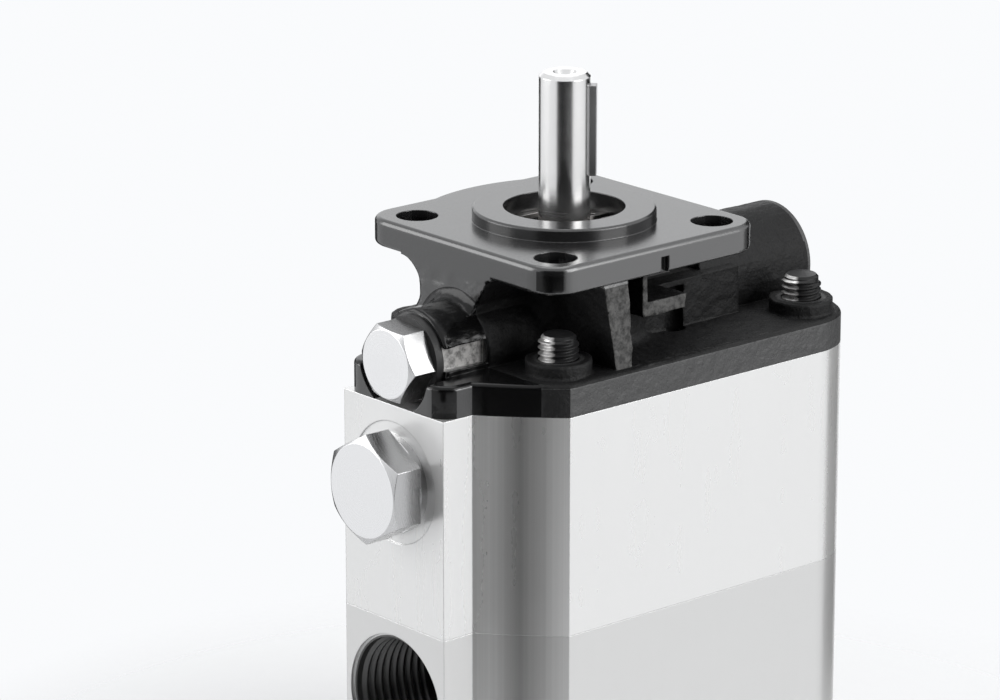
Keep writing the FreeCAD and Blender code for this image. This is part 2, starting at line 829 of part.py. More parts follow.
def second_body():
    body = new_body("second_body")
    outline = Outline(body, "outline", "XY_Plane", third_joint).loop(housing_corners(None))
    pad(body, "block", outline, s.second_body_tall)
    cavity_deep = cavity_top - third_joint
    cut_gear_bores(body, cavity_top, cavity_deep)
    hole = Outline(body, "shaft_hole_circle", "XY_Plane", second_joint)
    hole.circle(0, 0, s.shaft_hole_r)
    pocket(body, "shaft_hole", hole, s.second_web)
    cut_side_passages(body, second_joint, s.second_body_tall, second_gear_top, s.second_gear_wide)
    cut_bolt_holes(body, second_joint, s.bolt_hole_r, s.second_body_tall)
    cut_dowel_holes(body, "front_dowel_holes", second_joint)
    rear_top = third_joint + s.dowel_half_long + s.dowel_play * 10
    cut_dowel_holes(body, "rear_dowel_holes", rear_top)
    cut_seal_groove(body, "front_seal_groove", second_joint)
    cut_inlet(body)
    cut_small_seal_seat(body, s.return_passage_at, second_joint)
    back = Outline(body, "return_passage_circle", "XY_Plane", second_joint)
    back.circle(0, -s.return_passage_at, s.return_passage_r)
    pocket(body, "return_passage", back, s.inlet_drop + second_joint)
    return body


def cut_inlet(body):
    """The inlet's thread and mouth, and its throat into a relief round the drive gear."""
    z, front = -s.inlet_drop, s.nose_reach
    steps = (
        ("mouth", s.inlet_mouth_r, s.inlet_mouth_r - s.inlet_r),
        ("thread", s.inlet_r, s.inlet_deep),
        ("throat", s.inlet_throat_r, front - root_r),
    )
    for name, r, deep in steps:
        circle = Outline(body, "inlet_%s_circle" % name, "XZ_Plane", front).circle(0, z, r)
        pocket(body, "inlet_" + name, circle, deep)
    far, near = gear_bore_r + s.suction_relief, root_r
    relief = Outline(body, "suction_relief_outline", "XY_Plane", second_gear_top)
    curve = [(-far, 0), (0, -far, far), (0, -near), (-near, 0, -near)]
    relief.loop(curve + [(-near, waist), (-far, waist)])
    pocket(body, "suction_relief", relief, s.second_gear_wide)


def rear_cover():
    body = new_body("rear_cover")
    outline = Outline(body, "outline", "XY_Plane", tail).loop(housing_corners(s.foot_corner_r))
    block = pad(body, "block", outline, s.rear_cover_tall)
    rounded(body, "lower_rim", block, s.rear_edge_r, lambda edge: lies_level(edge, tail))
    cut_bolt_holes(body, third_joint, s.bolt_hole_r, s.rear_cover_tall)
    cut_dowel_holes(body, "dowel_holes", third_joint)
    cut_seal_groove(body, "seal_groove", third_joint)
    recess = Outline(body, "underside_outline", "XY_Plane", tail + s.rear_recess)
    recess.loop(stadium_corners(s.journal_r))
    pocket(body, "underside_recess", recess, s.rear_recess)
    return body


# gears and shafts


def tooth_points():
    """Half angle of the tooth at the base circle, and the flank from there to the tip."""
    pitch_r = centre_distance.value / 2
    angle = math.radians(s.pressure_angle.value)
    base_r = pitch_r * math.cos(angle)
    involute = math.tan(angle) - angle
    at_pitch = math.pi / (2 * s.tooth_count.value) - s.backlash.value / (4 * pitch_r)
    at_base = at_pitch + involute
    steps = 7
    flank = []
    for step in range(steps + 1):
        r = base_r + (tip_r.value - base_r) * (step / steps) ** 1.5
        turn = math.acos(min(base_r / r, 1))
        half = at_base - (math.tan(turn) - turn)
        flank.append((r, half))
    return at_base, flank


def add_teeth(body, low, wide, first_angle):
    """One tooth drawn as two involute flanks with root fillets, then turned round the shaft."""
    at_base, flank = tooth_points()
    fillet, r = s.root_fillet.value, root_r.value
    beside = math.asin(fillet / (r + fillet))
    along = math.sqrt((r + fillet) ** 2 - fillet**2)

    def point(radius, angle, side):
        turn = math.radians(first_angle) + angle * side
        return FreeCAD.Vector(radius * math.cos(turn), radius * math.sin(turn), 0)

    outline = Outline(body, "tooth_outline", "XY_Plane", low)
    ends = {}
    for side in (1, -1):
        inner = point(r - fillet, at_base + beside, side)
        foot = point(r, at_base + beside, side)
        knee = point(along, at_base, side)
        start = point(flank[0][0], at_base, side)
        centre = point(r + fillet, at_base + beside, side)
        middle = centre + ((foot + knee) * 0.5 - centre).normalize() * fillet
        curve = Part.BSplineCurve()
        curve.interpolate([point(radius, angle, side) for radius, angle in flank])
        edges = [Part.LineSegment(inner, foot), Part.Arc(foot, middle, knee)]
        edges += [Part.LineSegment(knee, start), curve]
        outline.sketch.addGeometry(edges, False)
        ends[side] = (inner, curve.EndPoint)
    tip = Part.Arc(ends[1][1], point(tip_r.value, 0, 1), ends[-1][1])
    floor = Part.LineSegment(ends[1][0], ends[-1][0])
    outline.sketch.addGeometry([tip, floor], False)
    tooth = pad(body, "tooth", outline, wide)
    teeth = body.newObject("PartDesign::PolarPattern", "teeth")
    teeth.Originals = [tooth]
    teeth.Axis = (outline.sketch, ["N_Axis"])
    teeth.Angle = 360
    teeth.Occurrences = int(s.tooth_count.value)
    body.Tip = teeth
    return teeth


def gear_shaft(label, gear_top, gear_wide, top, low, first_angle, nose=None):
    """A gear cut in one piece with its journals. The nose is the outline above the top."""
    body = new_body(label)
    end = s.shaft_chamfer / 2
    r, gear_low = s.journal_r, gear_top - gear_wide
    corners = [(0, low), (r - end, low), (r, low + end)]
    corners += [(r, gear_low), (root_r, gear_low), (root_r, gear_top), (r, gear_top)]
    corners += nose or [(r, top - end), (r - end, top), (0, top)]
    revolve(body, "shaft", corners)
    add_teeth(body, gear_low, gear_wide, first_angle)
    return body


def drive_gear_shaft():
    """Stage one's driving gear with the keyed shaft end above it and a slot for stage two."""
    top, r, cut = s.shaft_reach, s.shaft_r, s.shaft_chamfer
    shoulder = -s.shaft_shoulder_drop
    drill, step = s.centre_drill_r, s.journal_r - r
    nose = [
        (s.journal_r, shoulder - step),
        (r, shoulder),
        (r, top - cut),
        (r - cut, top),
        (drill, top),
        (drill * 0.4, top - drill * 0.9),
        (drill * 0.4, top - drill * 1.3),
        (0, top - drill * 1.5),
    ]
    low = second_joint + s.shaft_end_play
    turn = 90 - s.key_angle.value
    wide = s.first_gear_wide
    body = gear_shaft("drive_gear_shaft", first_gear_top, wide, top, low, turn, nose)
    key = Outline(body, "key_seat_outline", "YZ_Plane", r - s.key_seat_deep)
    key_top = top - s.key_top_inset
    key.box(-s.key_side / 2, s.key_side / 2, key_top - s.key_run, key_top)
    pocket(body, "key_seat", key, s.key_side, reverse=True)
    slot = Outline(body, "tang_slot_outline", "XY_Plane", low + s.tang_tall + s.tang_play)
    half = s.tang_half + s.tang_play
    slot.box(-s.journal_r - 1, s.journal_r + 1, -half, half)
    pocket(body, "tang_slot", slot, s.tang_tall + s.tang_play)
    place_body(body, rotation=FreeCAD.Rotation(FreeCAD.Vector(0, 0, 1), s.key_angle.value))
    return body


def shaft_key():
    body = new_body("shaft_key")
    floor = s.shaft_r - s.key_seat_deep
    key_top = s.shaft_reach - s.key_top_inset
    section = Outline(body, "key_outline", "XY_Plane", key_top - s.key_run)
    section.box(floor, floor + s.key_side, -s.key_side / 2, s.key_side / 2)
    pad(body, "key", section, s.key_run)
    place_body(body, rotation=FreeCAD.Rotation(FreeCAD.Vector(0, 0, 1), s.key_angle.value))
    return body


def driven_gear_shaft():
    """Stage one's driven gear, half a tooth out of step so that the pair is in mesh."""
    turn = -90 + 180 / s.tooth_count.value
    top, low = first_joint - s.shaft_end_play, second_joint + s.shaft_end_play
    wide = s.first_gear_wide
    body = gear_shaft("driven_gear_shaft", first_gear_top, wide, top, low, turn)
    place_body(body, y=centre_distance)
    return body


def second_drive_gear():
    """Stage two's driving gear, with the tang that sits in the first shaft's slot."""
    top, low = second_joint - s.tang_play, third_joint + s.shaft_end_play
    turn = 90 - s.key_angle.value
    wide = s.second_gear_wide
    body = gear_shaft("second_drive_gear", second_gear_top, wide, top, low, turn)
    tang = Outline(body, "tang_outline", "XY_Plane", top)
    tang.box(-s.tang_half_long, s.tang_half_long, -s.tang_half, s.tang_half)
    pad(body, "tang", tang, s.tang_tall)
    place_body(body, rotation=FreeCAD.Rotation(FreeCAD.Vector(0, 0, 1), s.key_angle.value))
    return body


def second_driven_gear():
    turn = -90 + 180 / s.tooth_count.value
    top, low = cavity_top - s.shaft_end_play, third_joint + s.shaft_end_play
    wide = s.second_gear_wide
    body = gear_shaft("second_driven_gear", second_gear_top, wide, top, low, turn)
    place_body(body, y=centre_distance)
    return body


# bearings


def bearing_block(label, low, tall):
    """A figure-eight block that carries both shafts of a stage, with a relief at the mesh."""
    body = new_body(label)
    for name, y in (("drive_side", 0), ("driven_side", centre_distance)):
        disc = Outline(body, name + "_disc", "XY_Plane", low)
        disc.circle(0, y, gear_bore_r - s.block_play)
        pad(body, name, disc, tall)
    bores = Outline(body, "bush_bores", "XY_Plane", low + tall)
    for y in (0, centre_distance):
        bores.circle(0, y, s.journal_r + s.journal_play + s.bush_wall)
    pocket(body, "bush_seats", bores, tall)
    return body


def bushes(label, low, tall):
    """The two plain bushes of one block."""
    bush = new_body(label + "_bush")
    section = Outline(bush, "bush_circles", "XY_Plane", 0)
    section.circle(0, 0, s.journal_r + s.journal_play + s.bush_wall)
    section.circle(0, 0, s.journal_r + s.journal_play)
    pad(bush, "bush", section, tall - s.bush_inset * 2)
    place_body(bush)
    z = low + s.bush_inset
    return copies(label, bush, [(0, 0, z), (0, centre_distance, z)])


# seals


def shaft_seal():
    """Lip seal: a stiff outer case, a floor and a lip that leans on the shaft."""
    body = new_body("shaft_seal")
    out, low = s.seal_bore_r, -s.seal_bore_deep
    top = low + s.seal_thick
    lip = s.journal_r + s.seal_lip_play
    wall = out - s.bush_wall * 1.5
    revolve(
        body,
        "seal",
        [
            (out, low),
            (out, top),
            (lip + 1.4, top),
            (lip + 1.0, top - 1.2),
            (lip + 2.2, top - 1.6),
            (lip + 1.6, low + 2.4),
            (lip, low + 1.2),
            (lip + 1.2, low + 0.3),
            (lip + 3.0, low + 2.2),
            (wall - 0.4, top - 1.8),
            (wall, low),
        ],
    )
    return body


def seal_retaining_ring():
    """An open spring ring with two eyes, sprung into the groove above the seal."""
    body = new_body("seal_retaining_ring")
    low = -s.ring_groove_drop - s.ring_thick
    out = s.seal_bore_r + s.ring_groove_deep - s.slide_play
    inner = out - s.ring_wide
    ring = Outline(body, "ring_circles", "XY_Plane", low).circle(0, 0, out).circle(0, 0, inner)
    pad(body, "ring", ring, s.ring_thick)
    eye_at = inner * 0.78
    eyes = Outline(body, "eye_circles", "XY_Plane", low)
    for side in (1, -1):
        eyes.circle(s.ring_wide * side, eye_at + s.ring_wide * 0.65, s.ring_wide * 0.62)
    pad(body, "eyes", eyes, s.ring_thick)
    gap = Outline(body, "gap_outline", "XY_Plane", low + s.ring_thick)
    gap.box(-s.ring_wide * 0.45, s.ring_wide * 0.45, inner * 0.5, out + 1)
    pocket(body, "gap", gap, s.ring_thick)
    holes = Outline(body, "eye_hole_circles", "XY_Plane", low + s.ring_thick)
    for side in (1, -1):
        holes.circle(s.ring_wide * side, eye_at + s.ring_wide * 0.65, s.ring_wide * 0.25)
    pocket(body, "eye_holes", holes, s.ring_thick)
    return body


def joint_seal(label, top):
    body = new_body(label)
    ring = Outline(body, "ring_outline", "XY_Plane", top - s.joint_seal_tall)
    ring.loop(stadium_corners(s.joint_seal_r + s.joint_seal_wide / 2))
    ring.loop(stadium_corners(s.joint_seal_r - s.joint_seal_wide / 2))
    pad(body, "ring", ring, s.joint_seal_tall)
    return body


def passage_seals():
    seal = new_body("passage_seal")
    section = Outline(seal, "seal_circles").circle(0, 0, s.small_seal_r)
    section.circle(0, 0, s.small_seal_bore)
    pad(seal, "ring", section, s.small_seal_tall)
    place_body(seal)
    places = [
        (0, -s.cross_passage_at, first_joint - s.small_seal_tall),
        (0, -s.return_passage_at, second_joint - s.small_seal_tall),
    ]
    return copies("passage_seals", seal, places)


# valves, each built along its own axis and laid down so that it points to -Y

LYING = FreeCAD.Rotation(FreeCAD.Vector(1, 0, 0), 90)


def polygon_corners(sides, half, turn):
    """A regular polygon's corners from half its width across flats."""
    reach = half / math.cos(math.pi / sides)
    corners = []
    for index in range(sides):
        angle = math.radians(turn + 360 / sides * index)
        corners.append((reach * math.cos(angle), reach * math.sin(angle)))
    return corners


def add_hexagon(body, low, half, thick, turn):
    head = Outline(body, "hexagon", "XY_Plane", low).loop(polygon_corners(6, half, turn))
    pad(body, "head", head, thick)
    top, far = low + thick, half * 1.3
    drop = (far - half * 0.97) * math.tan(math.pi / 6)
    groove(body, "head_lead", [(half * 0.97, top), (far, top - drop), (far, top)])


def hollow_plug(label, z, head, stem, nose, hollow_r):
    """A hexagon plug. The stem and the nose in front of it are given as radius and height, the
    head as its low side, half width across flats, thickness and turn."""
    body = new_body(label)
    head_low, half, thick, turn = head
    (stem_r, stem_low), (nose_r, nose_low) = stem, nose
    hollow_top = head_low - s.plug_crown
    corners = [(hollow_r, nose_low), (nose_r, nose_low)]
    if nose_r is not stem_r:
        corners += [(nose_r, stem_low), (stem_r, stem_low)]
    corners += [(stem_r, head_low), (0, head_low), (0, hollow_top), (hollow_r, hollow_top)]
    revolve(body, "stem", corners)
    add_hexagon(body, head_low, half, thick, turn)
    place_body(body, z=z, rotation=LYING)
    return body


def flat_washer(label, z, low, thick, r, hole_r):
    body = new_body(label)
    section = Outline(body, "washer_circles", "XY_Plane", low).circle(0, 0, r).circle(0, 0, hole_r)
    pad(body, "washer", section, thick)
    place_body(body, z=z, rotation=LYING)
    return body


def coil_spring(label, z, low, high, coil_r, wire_r, turns):
    """A spring whose wire has eight flat sides, which keeps its faces few."""
    body = new_body(label)
    sides, middle = 8, low + wire_r
    wire = polygon_corners(sides, wire_r, 180 / sides)
    corners = [(coil_r + out, middle + up) for out, up in wire]
    section = Outline(body, "wire_outline", "XZ_Plane").loop(corners)
    helix = body.newObject("PartDesign::AdditiveHelix", "coil")
    helix.Profile = section.sketch
    helix.ReferenceAxis = (section.sketch, ["V_Axis"])
    helix.Mode = "height-turns-angle"
    helix.setExpression("Height", (high - low - wire_r * 2).text)
    helix.setExpression("Turns", turns.text)
    helix.Angle = 0
    place_body(body, z=z, rotation=LYING)
    return body


def check_valve():
    """A light poppet on its seat, its spring, and the plug whose nose stops the poppet."""
    z, seat = boss_z, s.boss_front
    head_low = seat + s.check_washer_thick
    poppet_top = s.check_guide_end + s.check_poppet_long
    cup_r = s.check_coil_r + s.check_wire_r + s.cup_play
    head = (head_low, s.check_hex_half, s.check_hex_thick, s.check_hex_turn.value)
    stem = (s.check_bore_r - s.thread_play, seat - s.check_thread_deep + s.stop_play)
    nose = (s.check_nose_r, poppet_top + s.check_stroke + s.stop_play)
    hollow_plug("check_valve_plug", z, head, stem, nose, cup_r)
    thick, r = s.check_washer_thick, s.check_washer_r
    flat_washer("check_valve_washer", z, seat, thick, r, s.check_bore_r)
    poppet = new_body("check_valve_poppet")
    r, low = s.check_guide_r - s.slide_play, s.check_guide_end
    cup_floor = poppet_top - s.check_cup_deep
    corners = [(0, low), (s.check_seat_r * 1.15, low), (r, low + r - s.check_seat_r)]
    corners += [(r, poppet_top), (cup_r, poppet_top), (cup_r, cup_floor), (0, cup_floor)]
    revolve(poppet, "poppet", corners)
    place_body(poppet, z=z, rotation=LYING)
    wire = (s.check_coil_r, s.check_wire_r, s.check_coil_turns)
    coil_spring("check_valve_spring", z, cup_floor, head_low - s.plug_crown, *wire)


def unloading_valve():
    """A grooved spool in its guide, its spring, and the large plug that stops the spool."""
    z, seat = -s.unloader_drop, s.nose_reach - s.unloader_spot_deep
    head_low = seat + s.unloader_washer_thick
    low = s.unloader_guide_end
    top = low + s.unloader_spool_long
    cup_r = s.unloader_coil_r + s.unloader_wire_r + s.cup_play
    head = (head_low, s.unloader_hex_half, s.unloader_hex_thick, s.unloader_hex_turn.value)
    stem = (s.unloader_bore_r - s.thread_play, top + s.unloader_stroke + s.stop_play)
    hollow_plug("unloading_valve_plug", z, head, stem, stem, cup_r)
    thick, r = s.unloader_washer_thick, s.unloader_washer_r
    flat_washer("unloading_valve_washer", z, seat, thick, r, s.unloader_bore_r)
    spool = new_body("unloading_valve_spool")
    r, cup_floor = s.unloader_guide_r - s.slide_play, top - s.unloader_cup_deep
    lead = s.shaft_chamfer / 2
    land = low + s.unloader_spool_long / 4
    corners = [(0, low), (r - lead, low), (r, low + lead), (r, land)]
    corners += [(r - lead * 3, land + lead), (r - lead * 3, land + lead * 5), (r, land + lead * 6)]
    corners += [(r, top), (cup_r, top), (cup_r, cup_floor), (0, cup_floor)]
    revolve(spool, "spool", corners)
    place_body(spool, z=z, rotation=LYING)
    wire = (s.unloader_coil_r, s.unloader_wire_r, s.unloader_coil_turns)
    coil_spring("unloading_valve_spring", z, cup_floor, head_low - s.plug_crown, *wire)


# fasteners


def through_bolts():
    """Long bolts from under the rear cover, their ends standing out of the foot's tapped holes."""
    bolt = new_body("through_bolt")
    low = -s.bolt_head_thick
    grip = foot_top - tail + s.washer_thick + s.bolt_stand
    head = Outline(bolt, "hexagon", "XY_Plane", low)
    head.loop(polygon_corners(6, s.bolt_head_half, s.bolt_head_turn.value))
    pad(bolt, "head", head, s.bolt_head_thick)
    far, half = s.bolt_head_half * 1.3, s.bolt_head_half * 0.97
    rise = (far - half) * math.tan(math.pi / 6)
    groove(bolt, "head_lead", [(half, low), (far, low), (far, low + rise)])
    shank = Outline(bolt, "shank_circle").circle(0, 0, s.bolt_r)
    pad(bolt, "shank", shank, grip)
    end, r = s.shaft_chamfer, s.bolt_r
    groove(bolt, "end_lead", [(r - end, grip), (r + end, grip - end * 2), (r + end, grip)])
    place_body(bolt)
    return copies("through_bolts", bolt, bolt_places(tail - s.washer_thick))


def bolt_washers():
    washer = new_body("bolt_washer")
    section = Outline(washer, "washer_circles").circle(0, 0, s.washer_r)
    section.circle(0, 0, s.bolt_hole_r)
    pad(washer, "washer", section, s.washer_thick)
    place_body(washer)
    return copies("bolt_washers", washer, bolt_places(tail - s.washer_thick))


def dowel_pins():
    pin = new_body("dowel_pin")
    r, half, end = s.dowel_r, s.dowel_half_long, s.shaft_chamfer / 2
    corners = [(0, -half), (r - end, -half), (r, end - half)]
    corners += [(r, half - end), (r - end, half), (0, half)]
    revolve(pin, "pin", corners)
    place_body(pin)
    places = []
    for joint in (first_joint, second_joint, third_joint):
        places += dowel_places(joint)
    return copies("dowel_pins", pin, places)


def build_all():
    front_cover()
    first_body()
    second_body()
    rear_cover()
    drive_gear_shaft()
    shaft_key()
    driven_gear_shaft()
    second_drive_gear()
    second_driven_gear()
    blocks = (
        ("first_front", first_joint - first_block_tall, first_block_tall),
        ("first_rear", second_joint, first_block_tall),
        ("second_front", cavity_top - second_block_tall, second_block_tall),
        ("second_rear", third_joint, second_block_tall),
    )
    for name, low, tall in blocks:
        bearing_block(name + "_bearing_block", low, tall)
        bushes(name + "_bushes", low, tall)
    shaft_seal()
    seal_retaining_ring()
    joint_seal("front_joint_seal", first_joint)
    joint_seal("middle_joint_seal", second_joint)
    joint_seal("rear_joint_seal", third_joint)
    passage_seals()
    check_valve()
    unloading_valve()
    through_bolts()
    bolt_washers()
    dowel_pins()


def sub_parts():
    """The pieces to write: every body or group that isn't only the pattern of a group."""
    linked = {o.LinkedObject.Name for o in doc.Objects if o.TypeId == "App::Link"}
    kinds = ("PartDesign::Body", "Part::Compound")
    return [o for o in doc.Objects if o.TypeId in kinds and o.Name not in linked]


def check_and_write():
    doc.recompute()
    for item in doc.Objects:
        if "Invalid" in item.State or "Error" in item.State:
            raise RuntimeError("%s failed: %s" % (item.Name, item.State))
    pieces = sub_parts()
    for piece in pieces:
        if piece.Shape.isNull() or not piece.Shape.isValid() or not piece.Shape.Solids:
            raise RuntimeError("%s has no sound shape" % piece.Label)
    os.makedirs("parts", exist_ok=True)
    for piece in pieces:
        piece.Shape.exportStep(os.path.join("parts", piece.Label + ".step"))
        count = len(piece.Shape.Solids)
        print("%-28s %d solid(s) %10.1f mm3" % (piece.Label, count, piece.Shape.Volume))


build_all()
check_and_write()
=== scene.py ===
import bpy
import bmesh
import math
from mathutils import Matrix, Vector, noise


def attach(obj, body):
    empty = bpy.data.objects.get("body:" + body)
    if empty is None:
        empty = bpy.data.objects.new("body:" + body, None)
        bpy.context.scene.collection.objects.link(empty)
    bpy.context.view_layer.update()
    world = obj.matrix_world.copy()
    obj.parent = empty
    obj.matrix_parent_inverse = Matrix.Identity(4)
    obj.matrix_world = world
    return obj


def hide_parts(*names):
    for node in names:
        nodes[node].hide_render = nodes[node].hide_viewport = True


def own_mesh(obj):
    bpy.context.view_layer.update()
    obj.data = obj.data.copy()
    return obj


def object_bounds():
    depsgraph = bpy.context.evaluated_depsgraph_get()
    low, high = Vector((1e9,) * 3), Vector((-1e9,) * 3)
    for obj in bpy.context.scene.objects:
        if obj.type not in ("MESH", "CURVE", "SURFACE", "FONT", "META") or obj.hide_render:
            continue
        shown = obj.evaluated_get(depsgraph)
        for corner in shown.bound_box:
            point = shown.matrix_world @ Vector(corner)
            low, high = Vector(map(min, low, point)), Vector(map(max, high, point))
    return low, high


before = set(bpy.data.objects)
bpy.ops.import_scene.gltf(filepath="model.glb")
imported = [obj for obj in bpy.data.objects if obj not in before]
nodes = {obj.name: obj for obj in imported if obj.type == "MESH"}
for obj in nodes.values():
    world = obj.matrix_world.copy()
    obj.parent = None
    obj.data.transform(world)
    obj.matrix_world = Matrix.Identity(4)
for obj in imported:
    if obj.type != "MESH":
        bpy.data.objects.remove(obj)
cadLow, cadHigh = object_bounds()
scene = bpy.context.scene
print("frame loaded:", len(nodes), "nodes")


# small helpers for node trees

def newGroup(name, inputs, outputs):
    # a group reads a vector and named values, and gives out numbers
    group = bpy.data.node_groups.new(name, "ShaderNodeTree")
    group.interface.new_socket("Vector", in_out="INPUT", socket_type="NodeSocketVector")
    for label, value in inputs.items():
        kind = "NodeSocketVector" if isinstance(value, tuple) else "NodeSocketFloat"
        group.interface.new_socket(label, in_out="INPUT", socket_type=kind).default_value = value
    for label in outputs:
        group.interface.new_socket(label, in_out="OUTPUT", socket_type="NodeSocketFloat")
    return group, group.nodes.new("NodeGroupInput").outputs, group.nodes.new("NodeGroupOutput").inputs


def addNode(tree, kind, settings=None, values=None):
    node = tree.nodes.new(kind)
    for name, value in (settings or {}).items():
        setattr(node, name, value)
    for name, value in (values or {}).items():
        node.inputs[name].default_value = value
    return node


def mathNode(tree, operation, a, b=None, clamp=False):
    node = addNode(tree, "ShaderNodeMath", {"operation": operation, "use_clamp": clamp})
    for index, value in enumerate((a, b)):
        if isinstance(value, (int, float)):
            node.inputs[index].default_value = value
        elif value is not None:
            tree.links.new(value, node.inputs[index])
    return node.outputs[0]


def times(tree, *values):
    result = values[0]
    for value in values[1:]:
        result = mathNode(tree, "MULTIPLY", result, value)
    return result


def opposite(tree, value):
    return mathNode(tree, "SUBTRACT", 1.0, value)


def fromAxis(tree, a, b):
    return mathNode(tree, "SQRT", mathNode(tree, "ADD", times(tree, a, a), times(tree, b, b)))


def rangeNode(tree, value, low, high, newLow=0.0, newHigh=1.0):
    node = addNode(tree, "ShaderNodeMapRange")
    tree.links.new(value, node.inputs["Value"])
    for name, number in (("From Min", low), ("From Max", high), ("To Min", newLow), ("To Max", newHigh)):
        node.inputs[name].default_value = number
    return node.outputs["Result"]


def bandNode(tree, value, low, full, fading, gone):
    # 1 between full and fading, 0 outside low and gone
    return times(tree, rangeNode(tree, value, low, full), rangeNode(tree, value, gone, fading))


def vectorNode(tree, operation, a, b=None):
    node = addNode(tree, "ShaderNodeVectorMath", {"operation": operation})
    tree.links.new(a, node.inputs[0])
    if isinstance(b, tuple):
        node.inputs[1].default_value = b
    elif b is not None:
        tree.links.new(b, node.inputs["Scale" if operation == "SCALE" else 1])
    return node.outputs["Value" if operation in ("DOT_PRODUCT", "LENGTH") else "Vector"]


def splitVector(tree, vector):
    parts = addNode(tree, "ShaderNodeSeparateXYZ")
    tree.links.new(vector, parts.inputs[0])
    return parts.outputs


def surfaceNormal(tree):
    return addNode(tree, "ShaderNodeNewGeometry").outputs["Normal"]


def noiseNode(tree, vector, scale, detail=3.0, rough=0.5):
    node = addNode(tree, "ShaderNodeTexNoise", None, {"Scale": scale, "Detail": detail, "Roughness": rough})
    tree.links.new(vector, node.inputs["Vector"])
    return node.outputs["Fac"]


def lineNoise(tree, value, scale, detail):
    dimensions = {"noise_dimensions": "1D"}
    node = addNode(tree, "ShaderNodeTexNoise", dimensions, {"Scale": scale, "Detail": detail})
    tree.links.new(value, node.inputs["W"])
    return node.outputs["Fac"]


def mixColour(tree, factor, a, b, blend="MIX"):
    node = addNode(tree, "ShaderNodeMix", {"data_type": "RGBA", "blend_type": blend})
    for socket, value in ((node.inputs[0], factor), (node.inputs[6], a), (node.inputs[7], b)):
        if isinstance(value, (int, float)):
            socket.default_value = value
        elif isinstance(value, (tuple, list)):
            socket.default_value = (*value, 1.0)
        else:
            tree.links.new(value, socket)
    return node.outputs[2]


# shared effects, one node group each

edgeWear = {
    "samples": 4,
    "flatToSharp": (0.985, 0.86),
    "grainScale": 900.0,
    "grain": (0.35, 0.65),
}


def makeWornEdges():
    # white along outer edges, broken up by noise
    e = edgeWear
    group, start, end = newGroup("wornEdges", {"Width": 0.0006, "Breakup": 0.5}, ["Mask"])
    bevel = addNode(group, "ShaderNodeBevel", {"samples": e["samples"]})
    group.links.new(start["Width"], bevel.inputs["Radius"])
    straight = vectorNode(group, "DOT_PRODUCT", bevel.outputs["Normal"], surfaceNormal(group))
    edge = rangeNode(group, straight, *e["flatToSharp"])
    grain = rangeNode(group, noiseNode(group, start["Vector"], e["grainScale"]), *e["grain"])
    broken = times(group, grain, start["Breakup"])
    group.links.new(mathNode(group, "SUBTRACT", edge, broken, True), end["Mask"])
    return group


sandSkin = {
    "gritScale": 1500.0,
    "gritShare": 0.35,
    "lumpScale": 330.0,
    "pitScale": 620.0,
    "pitEdge": (0.16, 0.02),
    "pitShare": 0.25,
}


def makeCastGrain():
    # sand-cast skin: fine grit, soft lumps and a few pits
    s = sandSkin
    group, start, end = newGroup("castGrain", {"Scale": 1.0, "Lumps": 0.5}, ["Height", "Grit", "Pits"])
    place = vectorNode(group, "SCALE", start["Vector"], start["Scale"])
    grit = noiseNode(group, place, s["gritScale"], 4.0, 0.6)
    lumps = noiseNode(group, place, s["lumpScale"], 3.0, 0.55)
    cells = addNode(group, "ShaderNodeTexVoronoi", {"feature": "F1"}, {"Scale": s["pitScale"]})
    group.links.new(place, cells.inputs["Vector"])
    pits = rangeNode(group, cells.outputs["Distance"], *s["pitEdge"])
    heavy = times(group, lumps, start["Lumps"])
    height = mathNode(group, "ADD", times(group, grit, s["gritShare"]), heavy)
    height = mathNode(group, "SUBTRACT", height, times(group, pits, s["pitShare"]))
    for label, value in (("Height", height), ("Grit", grit), ("Pits", pits)):
        group.links.new(value, end[label])
    return group


def makeToolMarks():
    # fine lines along one way: drawn, milled or ground metal, by the two scales
    scales = {"Fine": (2600.0, 2600.0, 30.0), "Broad": (160.0, 160.0, 5.0)}
    group, start, end = newGroup("toolMarks", scales, ["Height", "Streaks"])
    for scale, label in (("Fine", "Height"), ("Broad", "Streaks")):
        place = vectorNode(group, "MULTIPLY", start["Vector"], start[scale])
        group.links.new(noiseNode(group, place, 1.0, 2.0), end[label])
    return group


def makeTurnedRings():
    # lathe lines round the Z axis of the given vector: rings by radius on faces, by height on walls
    group, start, end = newGroup("turnedRings", {"Pitch": 0.00018}, ["Height"])
    x, y, z = splitVector(group, start["Vector"])
    heightShare = 1.13
    along = mathNode(group, "ADD", fromAxis(group, x, y), times(group, z, heightShare))
    steps = mathNode(group, "DIVIDE", along, start["Pitch"])
    group.links.new(lineNoise(group, steps, 1.0, 2.0), end["Height"])
    return group


smudges = {
    "detail": 5.0,
    "rough": 0.6,
    "edge": (0.38, 0.7),
}


def makeHandling():
    # smudges and a thin film of oil and dust, as a mask
    group, start, end = newGroup("handling", {"Size": 60.0}, ["Mask"])
    place = vectorNode(group, "SCALE", start["Vector"], start["Size"])
    cloud = noiseNode(group, place, 1.0, smudges["detail"], smudges["rough"])
    group.links.new(rangeNode(group, cloud, *smudges["edge"]), end["Mask"])
    return group


shoulder = {
    "facing": (-0.30, -0.42),
    "alongX": 0.728,
    "alongY": 0.685,
    "darkFrom": (-0.0125, -0.0064),
    "darkTo": (0.0040, -0.0060),
    "streakScale": 900.0,
    "streaks": (0.3, 0.7, 0.90, 1.0),
}


